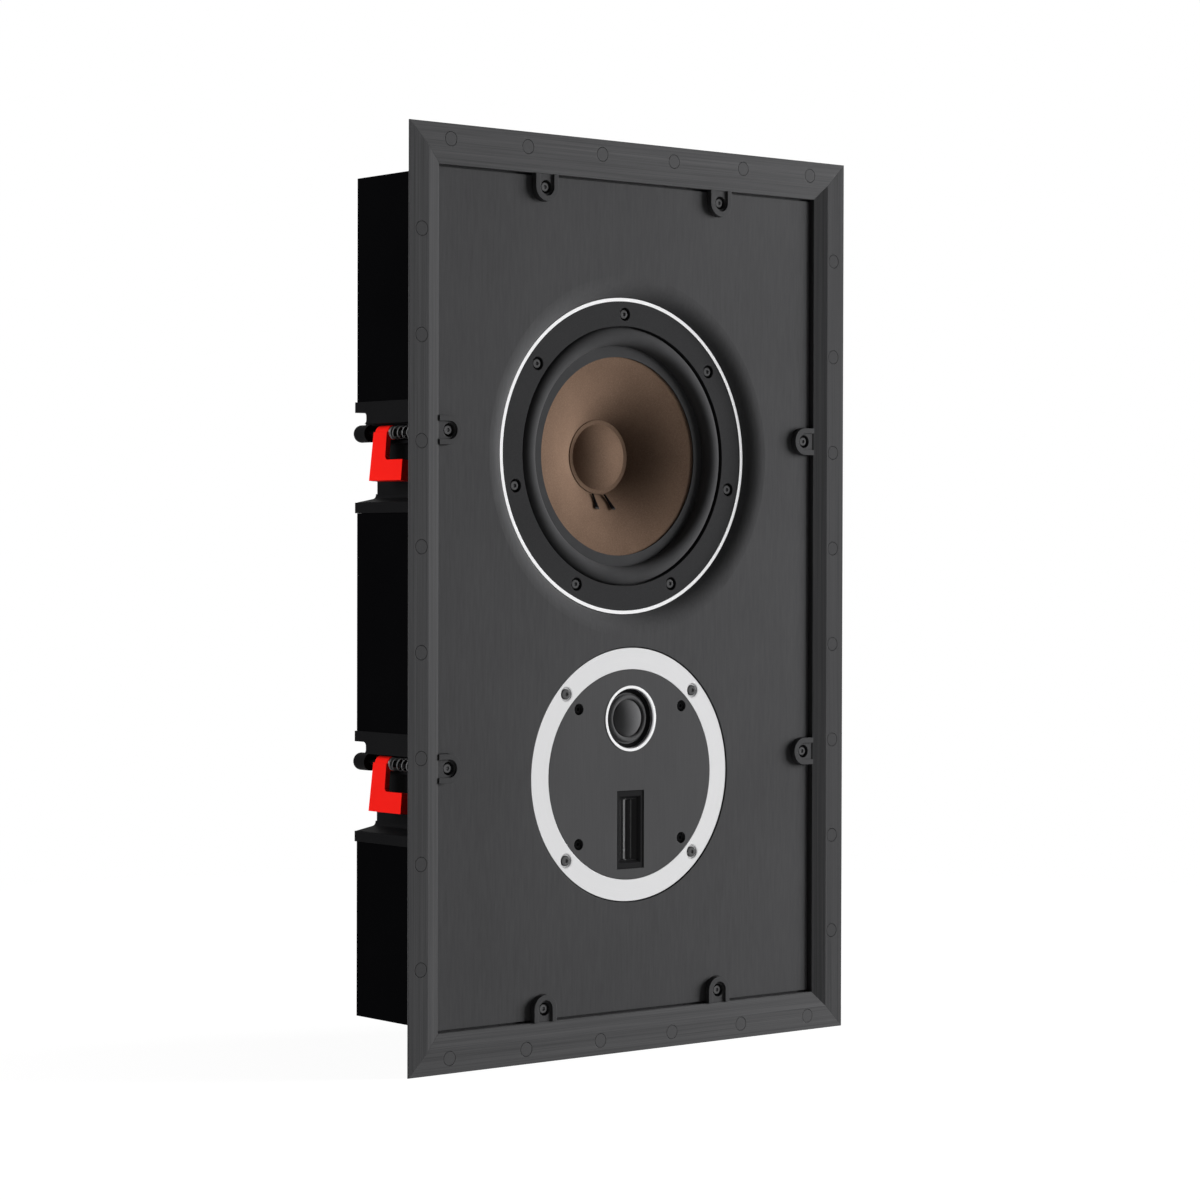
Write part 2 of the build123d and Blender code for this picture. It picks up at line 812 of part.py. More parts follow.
def dome_trim_ring():
    front = plate_front - dome_trim_proud
    edge = dome_trim_radius - dome_trim_width
    return turned_points([
        (dome_trim_radius, front), (edge, front), (funnel_mouth, front + dome_trim_slope),
        (funnel_mouth, chassis_front), (dome_trim_radius, chassis_front)], 0, dome_z)


def dome():
    crown = dome_base - dome_height
    inner = dome_radius - dome_wall
    return turned([
        bowl_arc(dome_radius, dome_height, crown),
        Line((dome_radius, dome_base), (inner, dome_base)),
        bowl_arc(inner, dome_height - dome_wall, crown + dome_wall),
        Line((0, crown + dome_wall), (0, crown))], 0, dome_z)


def dome_surround():
    inner = dome_radius + seat_gap
    middle = (inner + dome_roll_outer) / 2
    crest = dome_base - (dome_roll_outer - inner) / 2
    return turned_points([
        (dome_lip, dome_base), (dome_roll_outer, dome_base), (middle + dome_wall, crest),
        (middle - dome_wall, crest), (inner, dome_base), (inner, dome_seat), (middle, crest + dome_wall),
        (dome_roll_outer - dome_wall, dome_seat), (dome_lip, dome_seat)], 0, dome_z)


def dome_coil():
    outer = dome_radius
    return ring(outer, outer - dome_wall, dome_base, dome_base + dome_coil_length, 0, dome_z)


def dome_motor():
    back = chassis_back + dome_motor_depth
    gap_back = dome_base + dome_coil_length + dome_coil_room
    return turned_points([
        (0, chassis_back), (dome_radius - dome_wall - coil_gap, chassis_back),
        (dome_radius - dome_wall - coil_gap, gap_back), (dome_radius + coil_gap, gap_back),
        (dome_radius + coil_gap, chassis_back), (dome_motor_radius, chassis_back), (dome_motor_radius, back),
        (0, back)], 0, dome_z)


def ribbon_frame():
    front = plate_front + window_drop
    back = chassis_front - foil_thickness
    outer = Pos(0, ribbon_z) * Rectangle(window_width, window_height)
    frame = prism(outer, front, back)
    mouth = Pos(0, ribbon_z) * Rectangle(foil_width + window_flare, foil_height + window_flare)
    throat = Pos(0, ribbon_z) * Rectangle(foil_width, foil_height)
    opening = [Plane.XZ.offset(-front) * mouth, Plane.XZ.offset(-back) * throat]
    return frame - loft([sketch.face() for sketch in opening])


def film_waves(front):
    width = foil_width / foil_wave_count
    starts = [-foil_width / 2 + width * i for i in range(foil_wave_count)]
    back = front + foil_wave_depth
    return [ThreePointArc((x, front), (x + width / 2, back), (x + width, front)) for x in starts]


def ribbon_foil():
    front = chassis_front - foil_thickness
    side = foil_width / 2
    half = foil_height / 2
    ends = [Line((x, front), (x, chassis_front)) for x in (-side, side)]
    film = extrude(make_face(film_waves(front) + film_waves(chassis_front) + ends), amount=half, both=True)
    for end in (-1, 1):
        low, high = sorted((end * half, end * (half - foil_bar)))
        film += block(-side, side, front, chassis_front + foil_wave_depth, low, high)
        low, high = sorted((end * half, end * (half + foil_tail)))
        film += block(-side, side, front, chassis_front, low, high)
    return Pos(0, 0, ribbon_z) * film


def ribbon_magnets():
    near = foil_width / 2 + foil_gap
    half_z = window_height / 2
    back = chassis_back + ribbon_magnet_depth
    pieces = []
    for side in (-1, 1):
        x0, x1 = sorted((side * near, side * (near + ribbon_magnet_width)))
        pieces.append(block(x0, x1, chassis_back, back, ribbon_z - half_z, ribbon_z + half_z))
    far = near + ribbon_magnet_width
    pieces.append(block(-far, far, back, back + ribbon_yoke, ribbon_z - half_z, ribbon_z + half_z))
    return pieces


# Rear terminal cup and crossover

def terminal_cup():
    half_x = cup_width / 2
    half_z = cup_height / 2
    cup = block(-half_x - cup_flange, half_x + cup_flange, depth_in_wall, depth_in_wall + cup_wall,
                terminal_z - half_z - cup_flange, terminal_z + half_z + cup_flange)
    cup += block(-half_x, half_x, cup_floor - cup_wall, depth_in_wall, terminal_z - half_z, terminal_z + half_z)
    room_x = half_x - cup_wall
    room_z = half_z - cup_wall
    cup -= block(-room_x, room_x, cup_floor, depth_in_wall + cup_wall, terminal_z - room_z, terminal_z + room_z)
    for side in (-1, 1):
        cup -= rod(stud_radius + shank_gap, cup_floor - cup_wall, cup_floor, side * post_spread / 2, terminal_z)
    return cup


def binding_post(side):
    x = side * post_spread / 2
    back = depth_in_wall
    post = rod(post_radius, cup_floor, back, x, terminal_z)
    post += rod(stud_radius, cup_floor - cup_wall - stud_length, cup_floor, x, terminal_z)
    return post - rod(plug_bore, back - plug_depth, back, x, terminal_z)


def crossover_board():
    board = block(board_left, board_right, board_front, board_back, board_low, board_high)
    for x in (board_left + standoff_inset, board_right - standoff_inset):
        for z in (board_low + standoff_inset, board_high - standoff_inset):
            board += rod(standoff_radius, board_back, rear_inside, x, z)
    return board


def crossover_coils():
    x = board_left + coil_radius
    front = board_front - coil_height
    return [ring(coil_radius, coil_bore, front, board_front, x, board_z + s * coil_radius) for s in (-1, 1)]


def crossover_capacitors():
    x = board_right - can_length / 2
    y = board_front - can_radius
    pitch = 2 * can_radius + can_gap
    can = Rot(0, 90, 0) * Cylinder(can_radius, can_length)
    return [Pos(x, y, board_z + i * pitch) * can for i in (-1, 0, 1)]


def damping_pad():
    half_x = post_x - trough_back - pad_gap
    low = board_high + pad_gap
    return block(-half_x, half_x, rear_inside - pad_thickness, rear_inside, low, low + pad_height)


clamp_names = ("upper_left", "lower_left", "lower_right", "upper_right")
nodes = frame_rails()
nodes["corner_keys"] = corner_keys()
nodes["grille_magnets"] = grille_magnets()
nodes["retaining_tabs"] = at_tabs(retaining_tab())
nodes["tab_screws"] = tab_screws()
nodes["front_baffle"] = front_baffle()
nodes["cabinet_box"] = cabinet_box()
nodes["clamp_troughs"] = at_clamps(clamp_trough())
for label, shape in (("clamp_screw", button_screw(head_seat, screw_tip)), ("clamp_washer", clamp_washer()),
                     ("dogleg", dogleg()), ("clamp_spring", clamp_spring())):
    for name, placed in zip(clamp_names, at_clamps(shape)):
        nodes[label + "_" + name] = placed
nodes["woofer_trim_ring"] = woofer_trim_ring()
nodes["woofer_clamp_ring"] = woofer_clamp_ring()
nodes["woofer_basket"] = woofer_basket()
nodes["woofer_surround"] = woofer_surround()
nodes["woofer_cone"] = woofer_cone()
nodes["dust_cap"] = dust_cap()
nodes["voice_coil"] = voice_coil()
nodes["spider"] = spider()
nodes["woofer_top_plate"] = woofer_top_plate()
nodes["woofer_magnet"] = woofer_magnet()
nodes["woofer_yoke"] = woofer_yoke()
nodes["woofer_screws"] = woofer_screw_set()
nodes["lead_wires"] = lead_wires()
nodes["tweeter_ring"] = tweeter_ring()
nodes["tweeter_ring_screws"] = tweeter_ring_screws()
nodes["tweeter_faceplate"] = tweeter_faceplate()
nodes["faceplate_screws"] = faceplate_screws()
nodes["tweeter_chassis"] = tweeter_chassis()
nodes["dome_trim_ring"] = dome_trim_ring()
nodes["dome"] = dome()
nodes["dome_surround"] = dome_surround()
nodes["dome_coil"] = dome_coil()
nodes["dome_motor"] = dome_motor()
nodes["ribbon_frame"] = ribbon_frame()
nodes["ribbon_foil"] = ribbon_foil()
nodes["ribbon_magnets"] = ribbon_magnets()
nodes["terminal_cup"] = terminal_cup()
nodes["binding_post_red"] = binding_post(1)
nodes["binding_post_black"] = binding_post(-1)
nodes["crossover_board"] = crossover_board()
nodes["crossover_coils"] = crossover_coils()
nodes["crossover_capacitors"] = crossover_capacitors()
nodes["damping_pad"] = damping_pad()

os.makedirs("parts", exist_ok=True)
for name, shape in nodes.items():
    solids = shape if isinstance(shape, list) else [shape]
    group = Compound([solid for piece in solids for solid in piece.solids()])
    export_step(group, os.path.join("parts", name + ".step"))
print(len(nodes), "nodes written")
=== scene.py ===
import bpy
import bmesh
import json
import math
import numpy as np
from mathutils import Matrix, Vector

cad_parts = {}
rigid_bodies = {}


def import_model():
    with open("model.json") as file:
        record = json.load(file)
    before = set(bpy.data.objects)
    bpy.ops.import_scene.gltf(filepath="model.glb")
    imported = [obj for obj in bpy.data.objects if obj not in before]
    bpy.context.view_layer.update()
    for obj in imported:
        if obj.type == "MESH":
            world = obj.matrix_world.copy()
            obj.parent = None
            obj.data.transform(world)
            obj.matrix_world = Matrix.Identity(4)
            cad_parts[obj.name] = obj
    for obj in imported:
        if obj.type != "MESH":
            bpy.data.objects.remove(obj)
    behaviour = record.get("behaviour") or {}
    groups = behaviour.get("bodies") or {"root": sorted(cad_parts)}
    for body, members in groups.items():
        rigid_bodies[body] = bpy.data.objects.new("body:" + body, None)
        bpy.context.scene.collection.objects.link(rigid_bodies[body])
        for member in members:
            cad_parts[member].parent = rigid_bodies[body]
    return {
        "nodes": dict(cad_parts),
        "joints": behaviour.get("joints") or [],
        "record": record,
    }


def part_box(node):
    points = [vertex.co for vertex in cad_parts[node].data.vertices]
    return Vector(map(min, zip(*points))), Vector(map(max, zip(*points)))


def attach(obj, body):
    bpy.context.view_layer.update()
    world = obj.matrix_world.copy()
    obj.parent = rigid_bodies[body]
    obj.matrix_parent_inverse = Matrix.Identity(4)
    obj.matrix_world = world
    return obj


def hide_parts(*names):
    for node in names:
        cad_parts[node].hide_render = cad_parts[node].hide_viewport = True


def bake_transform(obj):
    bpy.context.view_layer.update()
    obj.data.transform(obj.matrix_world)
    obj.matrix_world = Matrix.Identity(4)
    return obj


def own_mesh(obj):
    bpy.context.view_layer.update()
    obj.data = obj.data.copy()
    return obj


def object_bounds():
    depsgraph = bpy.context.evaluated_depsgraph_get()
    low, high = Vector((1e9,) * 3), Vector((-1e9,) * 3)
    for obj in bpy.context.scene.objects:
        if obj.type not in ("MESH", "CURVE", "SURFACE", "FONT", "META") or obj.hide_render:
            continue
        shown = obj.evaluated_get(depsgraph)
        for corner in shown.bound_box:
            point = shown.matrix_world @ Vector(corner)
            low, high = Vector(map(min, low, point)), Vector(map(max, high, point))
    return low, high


# In-wall speaker in metres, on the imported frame: front towards -Y, +Z up

for old in list(bpy.data.objects):
    bpy.data.objects.remove(old)
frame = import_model()
cadNodes = frame["nodes"]
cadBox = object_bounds()
corners = ("upper_left", "lower_left", "lower_right", "upper_right")
print("frame:", len(cadNodes), "nodes")


def mid(node):
    lo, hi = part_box(node)
    return (lo + hi) / 2


wooferAt = mid("woofer_trim_ring")
domeAt = mid("dome_trim_ring")
ribbonAt = mid("ribbon_frame")


# Node maths: a wrapped socket, so that sums can be written as they are

class Sock:
    def __init__(self, tree, out=None):
        self.tree = tree
        self.out = out

    def plug(self, socket, value):
        if isinstance(value, Sock):
            self.tree.links.new(value.out, socket)
        elif socket.type == "RGBA" and len(value) == 3:
            socket.default_value = (*value, 1)
        else:
            socket.default_value = value

    def node(self, kind, settings=None, links=None, pick=0):
        made = self.tree.nodes.new(kind)
        for key, value in (settings or {}).items():
            if key == "stops":
                ramp = made.color_ramp.elements
                ramp.remove(ramp[1])
                ramp[0].position = value[0][0]
                ramp[0].color = value[0][1]
                for place, shade in value[1:]:
                    ramp.new(place).color = shade
            else:
                setattr(made, key, value)
        for key, value in (links or {}).items():
            self.plug(made.inputs[key], value)
        return Sock(self.tree, made.outputs[pick])

    def calc(self, operation, *values):
        return self.node("ShaderNodeMath", {"operation": operation}, dict(enumerate(values)))

    def __add__(self, other):
        return self.calc("ADD", self, other)

    def __sub__(self, other):
        return self.calc("SUBTRACT", self, other)

    def __rsub__(self, other):
        return self.calc("SUBTRACT", other, self)

    def __mul__(self, other):
        return self.calc("MULTIPLY", self, other)

    def __truediv__(self, other):
        return self.calc("DIVIDE", self, other)

    __radd__ = __add__
    __rmul__ = __mul__


# Shader helpers

def shade(*display):
    # display values, 0 to 255, as the linear numbers that a socket takes
    return tuple(((c / 255 + 0.055) / 1.055) ** 2.4 if c > 10 else c / 255 / 12.92 for c in display)


def grey(level):
    return shade(level, level, level + 1)


def stretch(at, scale, place=(0, 0, 0), turn=(0, 0, 0)):
    return at.node("ShaderNodeMapping", {"vector_type": "POINT"},
                   {"Vector": at, "Scale": scale, "Location": place, "Rotation": turn})


def grain(at, scale, detail=2.0, rough=0.5):
    return at.node("ShaderNodeTexNoise", None,
                   {"Vector": at, "Scale": scale, "Detail": detail, "Roughness": rough}, "Fac")


def ramp(fac, *stops):
    levels = [(place, (level, level, level, 1)) for place, level in stops]
    return fac.node("ShaderNodeValToRGB", {"stops": levels}, {"Fac": fac})


def tint(fac, first, second):
    return fac.node("ShaderNodeMix", {"data_type": "RGBA"}, {0: fac, 6: first, 7: second}, 2)


def blended(first, second, share):
    return first * share + second * (1 - share)


def limit(value):
    return value.calc("MINIMUM", value.calc("MAXIMUM", value, 0.0), 1.0)


def axisOf(at, axis):
    return at.node("ShaderNodeSeparateXYZ", None, {0: at}, axis)


waveLength = 0.314  # of the wave texture at a scale of 1


def waves(at, axis, pitch, distort=0.0):
    return at.node("ShaderNodeTexWave", {"bands_direction": axis, "wave_profile": "SIN"},
                   {"Vector": at, "Scale": waveLength / pitch, "Distortion": distort}, "Fac")


def bump(height, strength, depth, under=None):
    links = {"Height": height, "Strength": strength, "Distance": depth}
    if under is not None:
        links["Normal"] = under
    return height.node("ShaderNodeBump", None, links)


def softEdge(at, radius):
    return at.node("ShaderNodeBevel", {"samples": 6}, {"Radius": radius})


def around(at, centre):
    # distance from an axis along Y, and the turn round it
    across = axisOf(at, "X") - centre[0]
    upward = axisOf(at, "Z") - centre[2]
    square = across * across + upward * upward
    return square.calc("SQRT", square), across.calc("ARCTAN2", upward, across)


def surface(name, sockets):
    finish = bpy.data.materials.new(name)
    finish.use_nodes = True
    tree = finish.node_tree
    tree.nodes.clear()
    start = Sock(tree)
    at = start.node("ShaderNodeTexCoord", pick="Object")
    shader = tree.nodes.new("ShaderNodeBsdfPrincipled")
    for key, value in sockets(at).items():
        start.plug(shader.inputs[key], value)
    out = tree.nodes.new("ShaderNodeOutputMaterial")
    tree.links.new(shader.outputs[0], out.inputs["Surface"])
    return finish


# Finishes, one for each slot of the record. Grain numbers are scales, the bumps' depths are metres

contrast = ((0.3, 0), (0.7, 1))


def brushedBlack(along, dark, light):
    look = {"fine": 2600, "long": 9, "broad": 7, "lines": 0.7, "rough": 0.42, "uneven": 0.12, "metal": 0.05,
            "bump": 0.12, "depth": 0.00006, "edge": 0.0005, "specular": 0.04}

    def sockets(at):
        scale = [look["fine"]] * 3
        scale[along] = look["long"]
        lines = grain(stretch(at, scale), 1.0, 3.0, 0.6)
        broad = grain(stretch(at, [s / look["broad"] for s in scale]), 1.0, 1.0)
        streaks = blended(lines, broad, look["lines"])
        return {
            "Base Color": tint(ramp(streaks, *contrast), grey(dark), grey(light)),
            "Roughness": look["rough"] + streaks * look["uneven"], "Metallic": look["metal"],
            "Normal": bump(streaks, look["bump"], look["depth"], softEdge(at, look["edge"])),
            "Specular IOR Level": look["specular"]}
    return sockets


def satinPaint(low, high, rough, fine=(700, 700, 60)):
    look = {"speck": 2600, "cloud": 9, "run": 0.6, "uneven": 0.1, "bump": 0.08, "depth": 0.00008, "edge": 0.0005,
            "specular": 0.03}

    def sockets(at):
        run = grain(stretch(at, fine), 1.0, 3.0, 0.55)
        speck = grain(at, look["speck"], 1.0)
        mottle = blended(run, grain(at, look["cloud"], 2.0), look["run"])
        return {
            "Base Color": tint(ramp(mottle, *contrast), grey(low), grey(high)),
            "Roughness": rough + speck * look["uneven"],
            "Normal": bump(blended(speck, run, 0.5), look["bump"], look["depth"], softEdge(at, look["edge"])),
            "Specular IOR Level": look["specular"]}
    return sockets


def magnetBlack(tones):
    # a disc has the tone of its rail, the painted sheen of the level rails included, and the discs of the level rails
    # lie beyond this height
    look = {"height": 0.299, "spread": 5, "speck": 2200, "rough": 0.45, "uneven": 0.1, "bump": 0.06,
            "depth": 0.00005, "edge": 0.0003, "specular": 0.04}
    upright, level = (sum(tones[along]) / 2 for along in (2, 0))

    def sockets(at):
        speck = grain(at, look["speck"], 2.0)
        upward = axisOf(at, "Z")
        paintedSheenMask = upward.calc("GREATER_THAN", upward.calc("ABSOLUTE", upward), look["height"])
        # painted sheen: the discs on the level rails get the lighter tone
        low, high = (tint(paintedSheenMask, grey(upright + off), grey(level + off))
                     for off in (-look["spread"], look["spread"]))
        return {
            "Base Color": tint(speck, low, high), "Roughness": look["rough"] + speck * look["uneven"],
            "Normal": bump(speck, look["bump"], look["depth"], softEdge(at, look["edge"])),
            "Specular IOR Level": look["specular"]}
    return sockets


def blackedScrew():
    # bright enough on the head to show its round; the shank deep in the wall is darkened, a painted shade
    look = {"head": 0.012, "shank": 0.016, "headTones": (72, 98), "shadedShankTones": (10, 18), "marks": 900,
            "rough": 0.34, "uneven": 0.15, "bump": 0.08, "depth": 0.00004, "edge": 0.0003}

    def sockets(at):
        marks = grain(at, look["marks"], 3.0, 0.6)
        # painted shade: darker with depth, where the shank lies in the wall's shade
        paintedLightMask = limit((axisOf(at, "Y") - look["head"]) / (look["shank"] - look["head"]))
        head, shank = (tint(marks, *map(grey, look[key])) for key in ("headTones", "shadedShankTones"))
        return {
            "Base Color": tint(paintedLightMask, head, shank), "Metallic": 1.0,
            "Roughness": look["rough"] + marks * look["uneven"],
            "Normal": bump(marks, look["bump"], look["depth"], softEdge(at, look["edge"]))}
    return sockets


def matBlack(level, rough, grainSize=2200, specular=0.02):
    look = {"cloud": 14, "spread": 0.2, "uneven": 0.12, "bump": 0.15, "depth": 0.0001, "edge": 0.0006}

    def sockets(at):
        fine = grain(at, grainSize, 2.0)
        low, high = (grey(level * (1 + off)) for off in (-look["spread"], look["spread"]))
        return {
            "Base Color": tint(grain(at, look["cloud"], 2.0), low, high),
            "Roughness": rough + fine * look["uneven"],
            "Normal": bump(fine, look["bump"], look["depth"], softEdge(at, look["edge"])),
            "Specular IOR Level": specular}
    return sockets


def moulded(low, high, rough, coat=0.0, specular=0.2):
    # coloured plastic: faint flow marks and a fine spark-eroded grain
    look = {"flow": (60, 25, 60), "fine": 3000, "uneven": 0.08, "bump": 0.1, "depth": 0.00005, "edge": 0.0005}

    def sockets(at):
        flow = grain(stretch(at, look["flow"]), 1.0, 2.0)
        fine = grain(at, look["fine"], 1.0)
        return {
            "Base Color": tint(flow, low, high), "Roughness": rough + fine * look["uneven"],
            "Normal": bump(fine, look["bump"], look["depth"], softEdge(at, look["edge"])),
            "Coat Weight": coat, "Specular IOR Level": specular}
    return sockets


def bareMetal(low, high, rough):
    look = {"marks": 400, "uneven": 0.15, "bump": 0.08, "depth": 0.00004, "edge": 0.0003}

    def sockets(at):
        marks = grain(at, look["marks"], 3.0, 0.6)
        return {
            "Base Color": tint(marks, low, high), "Metallic": 1.0, "Roughness": rough + marks * look["uneven"],
            "Normal": bump(marks, look["bump"], look["depth"], softEdge(at, look["edge"]))}
    return sockets


def turnedMetal(centre, low, high):
    # lathe marks run round the ring
    look = {"lines": 9000.0, "turn": 1.5, "metal": 0.85, "rough": 0.3, "uneven": 0.1, "bump": 0.05,
            "depth": 0.00003, "edge": 0.0003}

    def sockets(at):
        far, turn = around(at, centre)
        spread = at.node("ShaderNodeCombineXYZ", None, {"X": far * look["lines"], "Y": turn * look["turn"]})
        lines = grain(spread, 1.0, 2.0)
        return {
            "Base Color": tint(lines, low, high), "Metallic": look["metal"],
            "Roughness": look["rough"] + lines * look["uneven"],
            "Normal": bump(lines, look["bump"], look["depth"], softEdge(at, look["edge"]))}
    return sockets


def paperPulp():
    look = {"dark": shade(93, 75, 63), "base": shade(109, 89, 75), "light": shade(128, 109, 93), "pulp": 900,
            "cloud": 45, "share": 0.6, "flecks": ((0.5, 0), (0.68, 1)), "fleckShare": 0.4, "rough": 0.8,
            "uneven": 0.15, "bump": 0.2, "depth": 0.00012, "specular": 0.05}
    fibres = (((3400, 900, 700), (0.3, 0.5, 0.8)), ((700, 900, 3400), (0.2, 0.9, 0.1)))

    def sockets(at):
        pulp = grain(at, look["pulp"], 3.0, 0.6)
        mottle = blended(pulp, grain(at, look["cloud"], 2.0), look["share"])
        along, across = (grain(stretch(at, scale, turn=turn), 1.0, 2.0) for scale, turn in fibres)
        flecks = ramp(blended(along, across, 0.5), *look["flecks"])
        body = tint(ramp(mottle, *contrast), look["dark"], look["base"])
        return {
            "Base Color": tint(flecks * look["fleckShare"], body, look["light"]),
            "Roughness": look["rough"] + pulp * look["uneven"],
            "Normal": bump(blended(pulp, flecks, look["share"]), look["bump"], look["depth"]),
            "Specular IOR Level": look["specular"]}
    return sockets


def softRubber(low, high, rough):
    look = {"bloom": 60, "fine": 3500, "uneven": 0.1, "bump": 0.06, "depth": 0.00005, "specular": 0.03}

    def sockets(at):
        bloom = grain(at, look["bloom"], 3.0)
        return {
            "Base Color": tint(bloom, grey(low), grey(high)), "Roughness": rough + bloom * look["uneven"],
            "Normal": bump(grain(at, look["fine"], 1.0), look["bump"], look["depth"]),
            "Specular IOR Level": look["specular"]}
    return sockets


def wovenCloth(low, high, pitch, rough, specular=0.1):
    # fine crossed threads
    look = {"distort": 0.4, "uneven": 0.1, "bump": 0.2, "depth": 0.00006}

    def sockets(at):
        warp, weft = (waves(at, axis, pitch, look["distort"]) for axis in "XZ")
        weave = warp.calc("MAXIMUM", warp, weft)
        return {
            "Base Color": tint(weave, low, high), "Roughness": rough + weave * look["uneven"],
            "Normal": bump(weave, look["bump"], look["depth"]), "Specular IOR Level": specular}
    return sockets


def blackFilm():
    # thin glossy film with two painted highlights down its length, the second one fainter, for the gloss on the
    # film's folds
    look = {"strips": ((-0.0023, 0.001, 0.9), (0.0042, 0.0009, 0.08)), "half": 0.0222, "fade": 0.0015,
            "marks": (300, 300, 60), "film": (14, 24), "paintedGlint": 225, "rough": 0.16, "uneven": 0.1, "paintedGlintRough": 0.2,
            "bump": 0.05, "depth": 0.00005, "specular": 0.08}

    def sockets(at):
        marks = grain(stretch(at, look["marks"]), 1.0, 2.0)
        across = axisOf(at, "X")

        def glintStreak(place, width, level):
            off = across - place
            near = 1.0 - off.calc("ABSOLUTE", off) / width
            return near.calc("MAXIMUM", near, 0.0) * level
        off = axisOf(at, "Z") - ribbonAt.z
        paintedLightMask = limit((look["half"] - off.calc("ABSOLUTE", off)) / look["fade"])
        # painted highlights: light streaks in the base colour, kept within the film's length
        paintedGlint = sum(glintStreak(*each) for each in look["strips"]) * paintedLightMask
        return {
            "Base Color": tint(paintedGlint, tint(marks, *map(grey, look["film"])), grey(look["paintedGlint"])),
            "Roughness": look["rough"] + marks * look["uneven"] + paintedGlint * look["paintedGlintRough"],
            "Normal": bump(marks, look["bump"], look["depth"]), "Specular IOR Level": look["specular"]}
    return sockets


def gluedBraid():
    # dark tinsel, stiffened with pale glue at the ends that are stuck to the cone
    look = {"clean": 0.0372, "glued": 0.0395, "braid": (4, 14), "glue": 120, "weave": 2600, "rough": 0.6,
            "uneven": 0.2, "bump": 0.2, "depth": 0.00005, "specular": 0.05}

    def sockets(at):
        weave = grain(at, look["weave"], 2.0)
        far, _ = around(at, wooferAt)
        glue = limit((far - look["clean"]) / (look["glued"] - look["clean"]))
        return {
            "Base Color": tint(glue, tint(weave, *map(grey, look["braid"])), grey(look["glue"])),
            "Roughness": look["rough"] + weave * look["uneven"],
            "Normal": bump(weave, look["bump"], look["depth"]), "Specular IOR Level": look["specular"]}
    return sockets


def woundWire(low, high, pitch):
    # turns of lacquered wire laid side by side
    look = {"tarnish": 90, "rough": 0.32, "uneven": 0.1, "bump": 0.6, "groove": 1 / 3}

    def sockets(at):
        turns = waves(at, "Y", pitch)
        return {
            "Base Color": tint(grain(at, look["tarnish"], 2.0), low, high), "Metallic": 1.0,
            "Roughness": look["rough"] + turns * look["uneven"],
            "Normal": bump(turns, look["bump"], pitch * look["groove"])}
    return sockets


def feltWool():
    look = {"wool": 500, "tufts": 90, "share": 0.6, "tones": (95, 165), "rough": 0.95, "bump": 0.6,
            "depth": 0.0008, "specular": 0.1}

    def sockets(at):
        wool = grain(at, look["wool"], 6.0, 0.7)
        nap = blended(wool, grain(at, look["tufts"], 2.0), look["share"])
        return {
            "Base Color": tint(nap, *map(grey, look["tones"])), "Roughness": look["rough"],
            "Normal": bump(wool, look["bump"], look["depth"]), "Specular IOR Level": look["specular"]}
    return sockets


def circuitGreen():
    look = {"weave": 900, "tracks": 60.0, "gap": 0.03, "dark": shade(18, 74, 44), "light": shade(60, 120, 78),
            "trackShare": 0.5, "weaveShare": 0.2, "rough": 0.4, "uneven": 0.1, "bump": 0.1, "depth": 0.0001}

    def sockets(at):
        weave = grain(at, look["weave"], 2.0)
        tracks = at.node("ShaderNodeTexBrick", None, {
            "Vector": stretch(at, (1, 1, 1), turn=(math.pi / 2, 0, 0)), "Scale": look["tracks"],
            "Color1": (0, 0, 0, 1), "Color2": (0.3, 0.3, 0.3, 1), "Mortar": (1, 1, 1, 1),
            "Mortar Size": look["gap"]}, "Fac")
        mottle = tracks * look["trackShare"] + weave * look["weaveShare"]
        return {
            "Base Color": tint(mottle, look["dark"], look["light"]),
            "Roughness": look["rough"] + weave * look["uneven"],
            "Normal": bump(tracks, look["bump"], look["depth"])}
    return sockets


